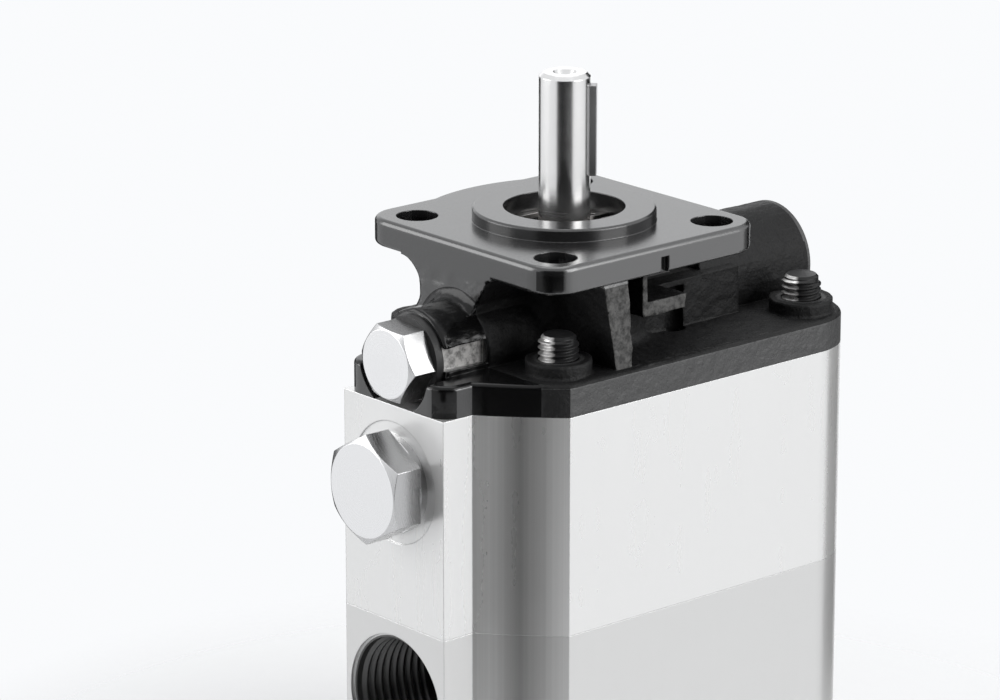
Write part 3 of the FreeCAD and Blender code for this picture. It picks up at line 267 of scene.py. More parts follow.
def makeShoulderShade():
    # painted shade along the middle of the curved shoulders beside the nose, with faint streaks of drawing
    # marks
    s = shoulder
    group, start, end = newGroup("shoulderShade", {"Dark": 0.5}, ["Shade"])
    x, y = splitVector(group, start["Vector"])[:2]
    normalX, normalY = splitVector(group, surfaceNormal(group))[:2]
    outward = times(group, mathNode(group, "ABSOLUTE", normalX), normalY)
    onShoulder = rangeNode(group, outward, *s["facing"])
    side = times(group, mathNode(group, "ABSOLUTE", x), s["alongX"])
    along = mathNode(group, "ADD", side, times(group, y, s["alongY"]))
    band = times(group, rangeNode(group, along, *s["darkFrom"]), rangeNode(group, along, *s["darkTo"]))
    uneven = rangeNode(group, lineNoise(group, along, s["streakScale"], 4.0), *s["streaks"])
    lost = times(group, band, opposite(group, start["Dark"]))
    marked = times(group, onShoulder, opposite(group, lost), uneven)
    group.links.new(mathNode(group, "ADD", opposite(group, onShoulder), marked), end["Shade"])
    return group


def makePortDark():
    # a mask for painted shade on the wall inside a port that lies along Y at a given height
    values = {"Height": 0.0, "Radius": 0.016, "Mouth": -0.0540, "Bottom": -0.0200}
    group, start, end = newGroup("portDark", values, ["Mask"])
    x, y, z = splitVector(group, start["Vector"])
    radius = fromAxis(group, mathNode(group, "SUBTRACT", z, start["Height"]), x)
    within = mathNode(group, "LESS_THAN", radius, start["Radius"])
    past = mathNode(group, "GREATER_THAN", y, start["Mouth"])
    before = mathNode(group, "LESS_THAN", y, start["Bottom"])
    group.links.new(times(group, within, past, before), end["Mask"])
    return group


wornEdges = makeWornEdges()
castGrain = makeCastGrain()
toolMarks = makeToolMarks()
turnedRings = makeTurnedRings()
handling = makeHandling()
shoulderShade = makeShoulderShade()
portDark = makePortDark()
print("shader groups made")


# materials

def startMaterial(name, principled):
    material = bpy.data.materials.new(name)
    material.use_nodes = True
    tree = material.node_tree
    tree.nodes.clear()
    shader = addNode(tree, "ShaderNodeBsdfPrincipled", None, principled)
    output = addNode(tree, "ShaderNodeOutputMaterial")
    tree.links.new(shader.outputs[0], output.inputs["Surface"])
    coordinates = addNode(tree, "ShaderNodeTexCoord").outputs["Object"]
    return material, tree, shader, coordinates


def placeGroup(tree, group, vector, values):
    node = addNode(tree, "ShaderNodeGroup", {"node_tree": group}, values)
    tree.links.new(vector, node.inputs["Vector"])
    return node.outputs


def feed(tree, shader, tone, roughness):
    tree.links.new(tone, shader.inputs["Base Color"])
    tree.links.new(roughness, shader.inputs["Roughness"])


def addBump(tree, shader, height, distance, roundRadius):
    bump = addNode(tree, "ShaderNodeBump", None, {"Strength": 1.0, "Distance": distance})
    tree.links.new(height, bump.inputs["Height"])
    bevel = addNode(tree, "ShaderNodeBevel", {"samples": 6}, {"Radius": roundRadius})
    tree.links.new(bevel.outputs["Normal"], bump.inputs["Normal"])
    tree.links.new(bump.outputs["Normal"], shader.inputs["Normal"])


def facingWay(tree, way):
    # how far the surface faces a way, from -1 to 1
    return vectorNode(tree, "DOT_PRODUCT", surfaceNormal(tree), way)


def toned(colour, share):
    return tuple(v * share for v in colour)


castCover = {
    "skin": (0.0035, 0.0035, 0.0037),
    "milled": (0.016, 0.016, 0.0165),
    "paintedSideLight": (0.085, 0.085, 0.086),
    "bareMetal": (0.30, 0.29, 0.28),
    "paintedBossHighlight": (0.58, 0.57, 0.56),
    "paintedWebLight": (0.115, 0.114, 0.112),
    "filmTone": 1.9,
    "filmShare": 0.5,
    "bareShare": 0.07,
    "skinIor": 1.85,
    "sandShadeIor": 1.36,
    "pilotIor": 1.70,
    "machinedRoughness": 0.22,
    "castRoughness": 0.62,
    "gritRoughness": 0.16,
    "castDepth": 0.00045,
    "machinedDepth": 0.000012,
    "machinedShare": 0.010,  # of the cast grain, on machined faces
    "edgeWidth": 0.0006,
    "edgeRadius": 0.0004,
    "millFine": (900.0, 60.0, 900.0),
    "millBroad": (90.0, 12.0, 90.0),
    # where each finish begins and is full; heights and places are in metres
    "sandBelow": (-0.0068, -0.0085),
    "sandBehind": (-0.0346, -0.0338),
    "flangeTop": (-0.0024, -0.0008),
    "flangeSide": (0.0335, 0.0342),
    "bossHighlightX": (0.0085, 0.0087, 0.0098, 0.0101),
    "bossHighlightY": (-0.0345, -0.0350),
    "bossHighlightZ": (-0.0278, -0.0272, -0.0218, -0.0212),
    "bossHighlightMottle": (0.36, 0.58, 0.30, 1.0),
    "webX": (0.0252, 0.0257),
    "webY": (-0.0176, -0.0172, 0.0420, 0.0440),
    "webZ": (-0.0290, -0.0284),
    "webFacing": (0.4, 0.8),
    "webMottle": (0.38, 0.60, 0.25, 1.0),
}


def makeCastCover(name, rough, ior):
    # black coated casting; rough is how much of the sand-cast skin shows, 0 to 1
    c = castCover
    material, tree, shader, vector = startMaterial(name, {"IOR": ior})
    cast = placeGroup(tree, castGrain, vector, {"Scale": 1.0, "Lumps": 1.2})
    mill = placeGroup(tree, toolMarks, vector, {"Fine": c["millFine"], "Broad": c["millBroad"]})
    worn = placeGroup(tree, wornEdges, vector, {"Width": c["edgeWidth"], "Breakup": 0.9})
    film = placeGroup(tree, handling, vector, {"Size": 55.0})
    mottle = noiseNode(tree, vector, 520.0, 4.0, 0.65)
    x, y, z = splitVector(tree, vector)
    # the skin is rough between flange and foot, and machined above and below
    sandy = times(tree, rangeNode(tree, z, *c["sandBelow"]), rangeNode(tree, y, *c["sandBehind"]), rough)
    filmed = times(tree, film["Mask"], c["filmShare"])
    tone = mixColour(tree, filmed, c["skin"], toned(c["skin"], c["filmTone"]))
    # flange and foot are milled lighter on top; the flange's right side is painted lighter still, as painted
    # light
    tone = mixColour(tree, rangeNode(tree, z, *c["flangeTop"]), tone, c["milled"])
    side = times(tree, rangeNode(tree, x, *c["flangeSide"]), opposite(tree, sandy))
    tone = mixColour(tree, side, tone, c["paintedSideLight"])
    # painted light on the side webs' outer faces that face right, mottled
    outer = rangeNode(tree, mathNode(tree, "ABSOLUTE", x), *c["webX"])
    outer = times(tree, outer, bandNode(tree, y, *c["webY"]), rangeNode(tree, z, *c["webZ"]))
    outer = times(tree, outer, rangeNode(tree, facingWay(tree, (1, 0, 0)), *c["webFacing"]))
    outer = times(tree, outer, sandy, rangeNode(tree, mottle, *c["webMottle"]))
    tone = mixColour(tree, outer, tone, c["paintedWebLight"])
    # painted highlight: a bright mottled patch on the valve boss's right side, where the light falls
    bossHighlight = times(tree, bandNode(tree, x, *c["bossHighlightX"]), bandNode(tree, z, *c["bossHighlightZ"]))
    bossHighlight = times(tree, bossHighlight, rangeNode(tree, y, *c["bossHighlightY"]), rangeNode(tree, mottle, *c["bossHighlightMottle"]))
    tone = mixColour(tree, bossHighlight, tone, c["paintedBossHighlight"])
    tone = mixColour(tree, times(tree, worn["Mask"], c["bareShare"]), tone, c["bareMetal"])
    rougher = times(tree, sandy, c["castRoughness"] - c["machinedRoughness"])
    base = mathNode(tree, "ADD", rougher, c["machinedRoughness"])
    grit = times(tree, mathNode(tree, "SUBTRACT", cast["Grit"], 0.5), c["gritRoughness"])
    feed(tree, shader, tone, mathNode(tree, "ADD", base, grit))
    heightCast = times(tree, cast["Height"], mathNode(tree, "ADD", sandy, c["machinedShare"]))
    heightMill = times(tree, mill["Height"], c["machinedDepth"] / c["castDepth"])
    height = mathNode(tree, "ADD", heightCast, heightMill)
    addBump(tree, shader, height, c["castDepth"], c["edgeRadius"])
    return material


aluminium = {
    "firstColour": (0.84, 0.84, 0.835),
    "secondColour": (0.71, 0.71, 0.705),
    "blockColour": (0.62, 0.63, 0.65),
    "metalShare": 0.62,
    "lineDepth": 0.0000012,
    "edgeRadius": 0.0003,
    "fine": (2600.0, 2600.0, 40.0),
    "broad": (210.0, 210.0, 3.0),
    "streakTone": 0.93,
    "streakShare": 0.22,
    "filmTone": 0.86,
    "filmShare": 0.10,
    "edgeTone": (0.42, 0.42, 0.425),
    "edgeShare": 0.6,
    "streakRoughness": 0.12,
    "filmRoughness": 0.05,
    # share of the tone left where the shoulders' painted shade is darkest
    "shoulderDark": 0.50,
    "portHeight": -0.1123,
    "portRadius": 0.0164,
    "portShade": 0.16,
}


def makeDrawnAluminium(name, colour, roughness, depth):
    a = aluminium
    material, tree, shader, vector = startMaterial(name, {"Metallic": a["metalShare"]})
    lines = placeGroup(tree, toolMarks, vector, {"Fine": a["fine"], "Broad": a["broad"]})
    film = placeGroup(tree, handling, vector, {"Size": 30.0})
    worn = placeGroup(tree, wornEdges, vector, {"Width": 0.0005, "Breakup": 0.4})
    streaked = times(tree, lines["Streaks"], a["streakShare"])
    tone = mixColour(tree, streaked, colour, toned(colour, a["streakTone"]))
    tone = mixColour(tree, times(tree, film["Mask"], a["filmShare"]), tone, toned(colour, a["filmTone"]))
    tone = mixColour(tree, times(tree, worn["Mask"], a["edgeShare"]), tone, a["edgeTone"])
    # painted shade darkens the metal along the shoulders' middle and on the wall inside the port; the
    # shoulders also keep faint drawing streaks
    shade = placeGroup(tree, shoulderShade, vector, {"Dark": a["shoulderDark"]})["Shade"]
    port = placeGroup(tree, portDark, vector, {"Height": a["portHeight"], "Radius": a["portRadius"]})
    shade = times(tree, shade, opposite(tree, times(tree, port["Mask"], 1.0 - a["portShade"])))
    grey = addNode(tree, "ShaderNodeCombineColor")
    for channel in range(3):
        tree.links.new(shade, grey.inputs[channel])
    tone = mixColour(tree, 1.0, tone, grey.outputs[0], "MULTIPLY")
    rougher = a["streakRoughness"]
    rough = mathNode(tree, "ADD", times(tree, lines["Streaks"], rougher), roughness - rougher / 2)
    rough = mathNode(tree, "ADD", rough, times(tree, film["Mask"], a["filmRoughness"]))
    feed(tree, shader, tone, rough)
    addBump(tree, shader, lines["Height"], depth, a["edgeRadius"])
    return material


steel = {
    "ground": (0.76, 0.755, 0.75),
    "key": (0.42, 0.42, 0.425),
    "spring": (0.22, 0.21, 0.20),
    "zinc": (0.78, 0.78, 0.785),
    "filmTone": 0.72,
    "filmShare": 0.12,
    "bevelTone": 0.74,
    "bevelEdge": (0.96, 0.89),
    "flatEdge": (0.6, 0.3),
    "wornTone": (0.92, 0.92, 0.92),
    "wornShare": 0.4,
    "ringRoughness": 0.12,
    "filmRoughness": 0.06,
    "edgeRadius": 0.0003,
}


def makeTurnedSteel(name, colour, roughness, pitch, depth, centre=(0, 0, 0), turn=(0, 0, 0), flats=1.0):
    s = steel
    material, tree, shader, vector = startMaterial(name, {"Metallic": 1.0})
    placed = addNode(tree, "ShaderNodeMapping", None, {"Location": centre, "Rotation": turn})
    tree.links.new(vector, placed.inputs["Vector"])
    rings = placeGroup(tree, turnedRings, placed.outputs[0], {"Pitch": pitch})
    film = placeGroup(tree, handling, vector, {"Size": 90.0})
    worn = placeGroup(tree, wornEdges, vector, {"Width": 0.0004, "Breakup": 0.5})
    tone = mixColour(tree, times(tree, film["Mask"], s["filmShare"]), colour, toned(colour, s["filmTone"]))
    if flats < 1.0:
        # the end face is turned bright, its bevel less so, and the flats are as drawn
        endOn = mathNode(tree, "ABSOLUTE", facingWay(tree, (0, 1, 0)))
        tone = mixColour(tree, rangeNode(tree, endOn, *s["bevelEdge"]), tone, toned(colour, s["bevelTone"]))
        tone = mixColour(tree, rangeNode(tree, endOn, *s["flatEdge"]), tone, toned(colour, flats))
    tone = mixColour(tree, times(tree, worn["Mask"], s["wornShare"]), tone, s["wornTone"])
    rougher = s["ringRoughness"]
    rough = mathNode(tree, "ADD", times(tree, rings["Height"], rougher), roughness - rougher / 2)
    rough = mathNode(tree, "ADD", rough, times(tree, film["Mask"], s["filmRoughness"]))
    feed(tree, shader, tone, rough)
    addBump(tree, shader, rings["Height"], depth, s["edgeRadius"])
    return material


blackBolt = {
    "ior": 1.32,
    "oxide": (0.014, 0.014, 0.0145),
    "paintedGlint": (0.74, 0.73, 0.72),
    "glintWay": (-0.12, -0.993, 0.0),
    "glintEdge": (0.74, 0.88),
    "filmLoss": (0.2, 0.9, 1.0, 0.55),
    "roughness": (0.34, 0.5),
    "grainDepth": 0.00004,
}


def makeBlackenedBolt(name):
    # oil-blackened steel with a painted highlight: bright bare metal on the side that faces out of the
    # casting
    b = blackBolt
    material, tree, shader, vector = startMaterial(name, {"IOR": b["ior"]})
    level = vectorNode(tree, "NORMALIZE", vectorNode(tree, "MULTIPLY", surfaceNormal(tree), (1, 1, 0)))
    paintedGlint = rangeNode(tree, vectorNode(tree, "DOT_PRODUCT", level, b["glintWay"]), *b["glintEdge"])
    film = placeGroup(tree, handling, vector, {"Size": 260.0})["Mask"]
    paintedGlint = times(tree, paintedGlint, rangeNode(tree, film, *b["filmLoss"]))
    tree.links.new(paintedGlint, shader.inputs["Metallic"])
    tone = mixColour(tree, paintedGlint, b["oxide"], b["paintedGlint"])
    feed(tree, shader, tone, rangeNode(tree, film, 0.0, 1.0, *b["roughness"]))
    grain = placeGroup(tree, castGrain, vector, {"Scale": 1.4, "Lumps": 0.4})
    addBump(tree, shader, grain["Height"], b["grainDepth"], 0.0002)
    return material


rubber = {
    "clean": (0.010, 0.010, 0.0105),
    "dusty": (0.028, 0.027, 0.026),
    "roughness": (0.42, 0.62),
    "grainDepth": 0.00003,
}


def makeRubber(name):
    r = rubber
    material, tree, shader, vector = startMaterial(name, {"IOR": 1.5})
    grain = placeGroup(tree, castGrain, vector, {"Scale": 1.6, "Lumps": 0.3})
    film = placeGroup(tree, handling, vector, {"Size": 140.0})
    tone = mixColour(tree, times(tree, film["Mask"], 0.4), r["clean"], r["dusty"])
    feed(tree, shader, tone, rangeNode(tree, grain["Grit"], 0.3, 0.7, *r["roughness"]))
    addBump(tree, shader, grain["Height"], r["grainDepth"], 0.0002)
    return material


bronze = {
    "face": (0.58, 0.40, 0.21),
    "pit": (0.20, 0.13, 0.07),
    "roughness": (0.30, 0.5),
    "grainDepth": 0.00002,
}


def makeBronze(name):
    b = bronze
    material, tree, shader, vector = startMaterial(name, {"Metallic": 1.0})
    grain = placeGroup(tree, castGrain, vector, {"Scale": 2.2, "Lumps": 0.4})
    tone = mixColour(tree, grain["Pits"], b["face"], b["pit"])
    feed(tree, shader, tone, rangeNode(tree, grain["Grit"], 0.3, 0.7, *b["roughness"]))
    addBump(tree, shader, grain["Height"], b["grainDepth"], 0.0002)
    return material


# how much sand-cast skin shows, and the coat's IOR
castings = {
    "castCover": (1.0, castCover["skinIor"]),
    # the sand-cast copy's lower IOR darkens the recess and the front-right corners, as painted shade
    "sandCast": (1.0, castCover["sandShadeIor"]),
    "pilotCoat": (1.0, castCover["pilotIor"]),
    "castRear": (0.25, castCover["skinIor"]),
}
# colour, roughness and depth of the lines
drawnMetals = {
    "firstAluminium": (aluminium["firstColour"], 0.27, aluminium["lineDepth"]),
    "secondAluminium": (aluminium["secondColour"], 0.31, aluminium["lineDepth"]),
    "blockAluminium": (aluminium["blockColour"], 0.35, 0.00001),
}
lying = (math.radians(-90), 0, 0)
# colour, roughness, pitch and depth of the rings, and for some their centre, turn and the flats' tone
turnedMetals = {
    "groundShaft": (steel["ground"], 0.20, 0.00012, 0.0000015),
    "drivenShaft": (steel["ground"], 0.22, 0.00012, 0.000002, (0, -0.036, 0)),
    "keySteel": (steel["key"], 0.38, 0.0004, 0.000006),
    "springWire": (steel["spring"], 0.34, 0.0006, 0.000004),
    "checkZinc": (steel["zinc"], 0.24, 0.00022, 0.000005, (0, 0.026, 0), lying, 0.50),
    "unloadingZinc": (steel["zinc"], 0.24, 0.00024, 0.000005, (0, 0.0562, 0), lying, 0.62),
    "boltZinc": (steel["zinc"], 0.30, 0.0005, 0.000008),
}
finishes = {name: makeCastCover(name, *values) for name, values in castings.items()}
finishes.update({name: makeDrawnAluminium(name, *values) for name, values in drawnMetals.items()})
finishes.update({name: makeTurnedSteel(name, *values) for name, values in turnedMetals.items()})
finishes["boltBlack"] = makeBlackenedBolt("boltBlack")
finishes["blackRubber"] = makeRubber("blackRubber")
finishes["sinteredBronze"] = makeBronze("sinteredBronze")
print("materials made:", len(finishes))

nodeFinishes = {
    "castCover": ["front_cover"],
    "castRear": ["rear_cover"],
    "firstAluminium": ["first_body"],
    "secondAluminium": ["second_body"],
    "blockAluminium": [
        "first_front_bearing_block", "first_rear_bearing_block",
        "second_front_bearing_block", "second_rear_bearing_block",
    ],
    "sinteredBronze": [
        "first_front_bushes", "first_rear_bushes", "second_front_bushes", "second_rear_bushes",
    ],
    "groundShaft": ["drive_gear_shaft", "second_drive_gear", "dowel_pins"],
    "drivenShaft": ["driven_gear_shaft", "second_driven_gear"],
    "keySteel": ["shaft_key"],
    "springWire": ["seal_retaining_ring", "check_valve_spring", "unloading_valve_spring"],
    "checkZinc": ["check_valve_plug", "check_valve_poppet"],
    "unloadingZinc": ["unloading_valve_plug", "unloading_valve_spool", "unloading_valve_washer"],
    "boltZinc": ["through_bolts", "bolt_washers"],
    "blackRubber": [
        "check_valve_washer", "shaft_seal", "front_joint_seal", "middle_joint_seal",
        "rear_joint_seal", "passage_seals",
    ],
}
for finish, names in nodeFinishes.items():
    for name in names:
        materials = nodes[name].data.materials
        materials.clear()
        materials.append(finishes[finish])
print("finishes placed on the frame")


# pieces with more shape than the frame's plain ones

mergeReach = 0.000002


def finishPiece(name, builder, finish, replaced=()):
    # the mesh stands in its own place and rides on the housing
    bmesh.ops.remove_doubles(builder, verts=builder.verts, dist=mergeReach)
    mesh = bpy.data.meshes.new(name)
    builder.to_mesh(mesh)
    builder.free()
    mesh.shade_smooth()
    mesh.set_sharp_from_angle(angle=math.radians(32))
    for label in finish.split():
        mesh.materials.append(finishes[label])
    piece = bpy.data.objects.new(name, mesh)
    scene.collection.objects.link(piece)
    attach(piece, "housing")
    if replaced:
        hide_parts(*replaced)
    return piece


def onlyVerts(geometry):
    return [v for v in geometry if isinstance(v, bmesh.types.BMVert)]


def spun(builder, outline, rise, angle, steps, closed):
    # pairs of radius and height, joined in a line and spun round the Z axis
    points = [builder.verts.new((r, 0, z)) for r, z in outline]
    edges = [builder.edges.new(pair) for pair in zip(points, points[1:])]
    bmesh.ops.spin(
        builder, geom=points + edges, cent=(0, 0, 0), axis=(0, 0, 1), dvec=(0, 0, rise),
        angle=angle, steps=steps, use_merge=closed, use_duplicate=False,
    )


def threadTurns(builder, crest, root, pitch, low, turns, steps=40):
    # a screw thread: one pitch of its outline, spun up along Z
    outline = ((root, 0.0), (root, 0.14), (crest, 0.47), (crest, 0.63), (root, 0.96), (root, 1.0))
    outline = [(r, low + pitch * up) for r, up in outline]
    spun(builder, outline, pitch / steps, 2 * math.pi * turns, steps * turns, False)


throughBolt = {
    "places": ((0.025, -0.024), (-0.025, -0.024), (0.025, 0.057), (-0.025, 0.057)),
    "headLow": -0.16015,
    "headHigh": -0.15375,
    "headHalf": 0.008,
    "faceShare": 0.95,
    "cornerShare": 1.135,  # the corners' tips are taken off here
    "faceBevel": 30,
    "radius": 0.005,
    "rootShare": 0.855,
    "crestShare": 0.99,
    "tipShare": 0.86,
    "tipBevel": 0.0006,
    "threadLow": -0.0300,
    "turns": 6,
    "pitch": 0.0015,
    "end": -0.0192,
    "overlap": 0.0004,
    "rootOverlap": 0.00002,
    "frontLeftShort": 0.0045,
    "shortFrom": 0.001,  # below the thread, where the shorter bolt's moved part begins
}


def makeHexHead(builder):
    # a hexagon head whose low face is turned round
    b = throughBolt
    half, low, high = b["headHalf"], b["headLow"], b["headHigh"]
    face = half * b["faceShare"]

    def across(vertex):
        angle = math.atan2(vertex.co.y, vertex.co.x)
        step = math.pi / 3
        aside = angle - step * round(angle / step)
        return min(half / math.cos(aside), half * b["cornerShare"])

    def bevelled(vertex):
        return low + (across(vertex) - face) * math.tan(math.radians(b["faceBevel"]))

    def grown(rim, reach, height):
        # one more ring of faces, its outer edge set to a reach and a height
        open_ = [e for e in rim if e.is_boundary]
        made = bmesh.ops.extrude_edge_only(builder, edges=open_)["geom"]
        for vertex in onlyVerts(made):
            radius, z = reach(vertex), height(vertex)
            angle = math.atan2(vertex.co.y, vertex.co.x)
            vertex.co = (radius * math.cos(angle), radius * math.sin(angle), z)
        return [e for e in made if isinstance(e, bmesh.types.BMEdge)]

    circle = bmesh.ops.create_circle(builder, cap_ends=True, radius=face, segments=72)["verts"]
    bmesh.ops.translate(builder, verts=circle, vec=(0, 0, low))
    rim = list({e for v in circle for e in v.link_edges})
    rim = grown(rim, across, bevelled)
    rim = grown(rim, across, lambda vertex: high)
    rim = grown(rim, lambda vertex: face * 0.5, lambda vertex: high)
    bmesh.ops.contextual_create(builder, geom=[e for e in rim if e.is_boundary])


def makeThroughBolts():
    b = throughBolt
    r, root, end = b["radius"], b["radius"] * b["rootShare"], b["end"]
    foot = b["headHigh"] - b["overlap"]
    builder = bmesh.new()
    makeHexHead(builder)
    spun(builder, (
        (0, foot), (r, foot), (r, b["threadLow"]), (root, b["threadLow"] + b["overlap"]),
        (root, end - b["tipBevel"]), (root * b["tipShare"], end), (0, end),
    ), 0, 2 * math.pi, 64, True)
    threadLow = b["threadLow"] - b["overlap"] / 2
    threadTurns(builder, r * b["crestShare"], root - b["rootOverlap"], b["pitch"], threadLow, b["turns"])
    first = builder.verts[:] + builder.edges[:] + builder.faces[:]
    for x, y in b["places"][1:]:
        again = onlyVerts(bmesh.ops.duplicate(builder, geom=first)["geom"])
        if x < 0 and y < 0:
            # in the photo nothing stands above the casting at this one
            upper = [v for v in again if v.co.z > b["threadLow"] - b["shortFrom"]]
            bmesh.ops.translate(builder, verts=upper, vec=(0, 0, -b["frontLeftShort"]))
        bmesh.ops.translate(builder, verts=again, vec=(x, y, 0))
    bmesh.ops.translate(builder, verts=onlyVerts(first), vec=(*b["places"][0], 0))
    bmesh.ops.recalc_face_normals(builder, faces=builder.faces)
    finishPiece("threaded_through_bolts", builder, "boltBlack", ["through_bolts"])


ports = {
    "inlet": {
        "crest": 0.01495, "root": 0.01588, "pitch": 0.00231, "low": 0.0302, "turns": 9,
        "z": -0.1123, "turn": 90, "finish": "secondAluminium", "slot": "grey_aluminium",
    },
    "outlet": {
        "crest": 0.00955, "root": 0.01028, "pitch": 0.00181, "low": 0.0540, "turns": 8,
        "z": -0.0220, "turn": -90, "finish": "castCover", "slot": "cast_cover",
    },
}


def makePortThreads():
    for name, p in ports.items():
        builder = bmesh.new()
        threadTurns(builder, p["crest"], p["root"], p["pitch"], p["low"], p["turns"], 72)
        bmesh.ops.recalc_face_normals(builder, faces=builder.faces)
        # the thread lies on a bore, so its faces point towards the axis
        first = builder.faces[:][0]
        middle = first.calc_center_median()
        if first.normal.x * middle.x + first.normal.y * middle.y > 0:
            bmesh.ops.reverse_faces(builder, faces=builder.faces)
        laid = Matrix.Translation((0, 0, p["z"])) @ Matrix.Rotation(math.radians(p["turn"]), 4, "X")
        bmesh.ops.transform(builder, verts=builder.verts, matrix=laid)
        finishPiece(name + "_port_thread", builder, p["finish"])


springs = {
    "check_valve_spring": {"joint": "check_poppet_slide", "travel": 0.003},
    "unloading_valve_spring": {"joint": "unloading_spool_slide", "travel": 0.004},
}


def makeSprings():
    # each spring becomes a piece of its own, built from the frame's coil
    for node, s in springs.items():
        builder = bmesh.new()
        builder.from_mesh(nodes[node].data)
        coil = finishPiece(node + "_coil", builder, "springWire", [node])
        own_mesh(coil)


casting = {
    # the sand-cast skin lies between these heights and behind the front
    "top": -0.0074,
    "bottom": -0.0288,
    "front": -0.0345,
    "outletEnd": 0.0700,
    "fade": 0.0008,
    "longestEdge": 0.0012,
    "rounds": 5,
    "lumpSize": 210.0,
    "lumpDepth": 0.00026,
    "lumpNoise": (0.8, 2.3, 4),
    # it stops short of the bores and of the valve boss
    "bossCentre": -0.026,
    "bossReach": 0.0118,
    "bossPlay": 0.0010,
    "bossRoot": 0.01479,
    "shaftKeep": 0.0185,
    "outletCentre": -0.022,
    "outletKeep": 0.0120,
    "boltKeep": 0.0060,
    # corners of flange and foot that face the front right take the shaded sand-cast coat, as painted shade
    "cornerWay": Vector((0.68, -0.73, 0.0)),
    "cornerReach": 0.030,
    "flangeCorner": 0.92,
    "footCorner": 0.85,
    "pilotWall": 0.0224,
    "reliefOut": 0.0243,
    "reliefDeep": 0.001,
}
coatSlot, sandSlot, pilotSlot = 0, 1, 2


def rise(value, low, high):
    return min(1.0, max(0.0, (value - low) / (high - low)))


def bossDistance(point):
    return math.hypot(point.x, point.z - casting["bossCentre"])


def castShare(point):
    # 1 where the casting isn't machined, 0 on flange and foot sides and round every bore
    c = casting
    fade, play = c["fade"], c["bossPlay"]
    share = rise(point.z, c["bottom"] - fade, c["bottom"]) * rise(-point.z, -c["top"], fade - c["top"])
    share *= rise(c["outletEnd"] - point.y, 0, fade)
    share *= rise(math.hypot(point.x, point.y), c["shaftKeep"], c["shaftKeep"] + fade)
    for x, y in throughBolt["places"]:
        share *= rise(math.hypot(point.x - x, point.y - y), c["boltKeep"], c["boltKeep"] + fade)
    if point.y > 0:
        fromOutlet = math.hypot(point.x, point.z - c["outletCentre"])
        return share * rise(fromOutlet, c["outletKeep"], c["outletKeep"] + fade)
    return share * rise(bossDistance(point), c["bossReach"] - play, c["bossReach"] - 0.2 * play)


def lumpShare(point):
    # the lumps also stay off the milled front of the throat
    c = casting
    ahead = rise(c["front"] - point.y, 0, c["fade"])
    offBoss = rise(bossDistance(point), c["bossReach"] + c["bossPlay"], c["bossReach"] + 2 * c["bossPlay"])
    return castShare(point) * (1 - ahead * offBoss)


def coverSlot(face):
    # the coated skin, the sand-cast one whose lower IOR paints shade, or the pilot's turned wall
    c = casting
    middle = face.calc_center_median()
    fromShaft = math.hypot(middle.x, middle.y)
    toCorner = face.normal.dot(c["cornerWay"])
    if middle.z > 0.0001 and fromShaft > c["pilotWall"] and abs(face.normal.z) < 0.3:
        return pilotSlot
    if middle.z > c["top"]:
        sandy = fromShaft > c["cornerReach"] and toCorner > c["flangeCorner"]
    elif middle.z < c["bottom"] - c["fade"]:
        sandy = toCorner > c["footCorner"]
    else:
        onFront = middle.y < c["front"] and face.normal.y < -0.97
        sandy = not (onFront and bossDistance(middle) > c["bossRoot"]) and castShare(middle) > 0.1
    return sandSlot if sandy else coatSlot


def isLong(edge):
    a, b = edge.verts[0].co, edge.verts[1].co
    return edge.calc_length() > casting["longestEdge"] and any(castShare(p) > 0 for p in (a, b, (a + b) / 2))


def rounded(place):
    return tuple(round(v, 5) for v in place)


def machinedNormal(polygon, place, known):
    # the frame's normal here, and a plain one where the relief was filled
    found = known.get(rounded(place))
    if found:
        faceNormal, cornerNormal = max(found, key=lambda pair: pair[0].dot(polygon.normal))
        if faceNormal.dot(polygon.normal) > 0.99:
            return cornerNormal
    elif polygon.normal.z > 0.99:
        return Vector((0, 0, 1))
    elif polygon.material_index == pilotSlot:
        return Vector((place.x, place.y, 0)).normalized()
    return Vector((0, 0, 0))


def keepNormals(mesh, source):
    # machined faces keep the frame's normals, and the sand skin has its own
    known = {}
    for polygon in source.polygons:
        for corner in polygon.loop_indices:
            place = source.vertices[source.loops[corner].vertex_index].co
            pair = polygon.normal.copy(), source.corner_normals[corner].vector.copy()
            known.setdefault(rounded(place), []).append(pair)
    normals = [Vector((0, 0, 0))] * len(mesh.loops)
    for polygon in mesh.polygons:
        if polygon.material_index != sandSlot:
            for corner in polygon.loop_indices:
                place = mesh.vertices[mesh.loops[corner].vertex_index].co
                normals[corner] = machinedNormal(polygon, place, known)
    mesh.normals_split_custom_set(normals)


def inRelief(point):
    c = casting
    return -c["reliefDeep"] < point.z < 0 and c["pilotWall"] < math.hypot(point.x, point.y) < c["reliefOut"]


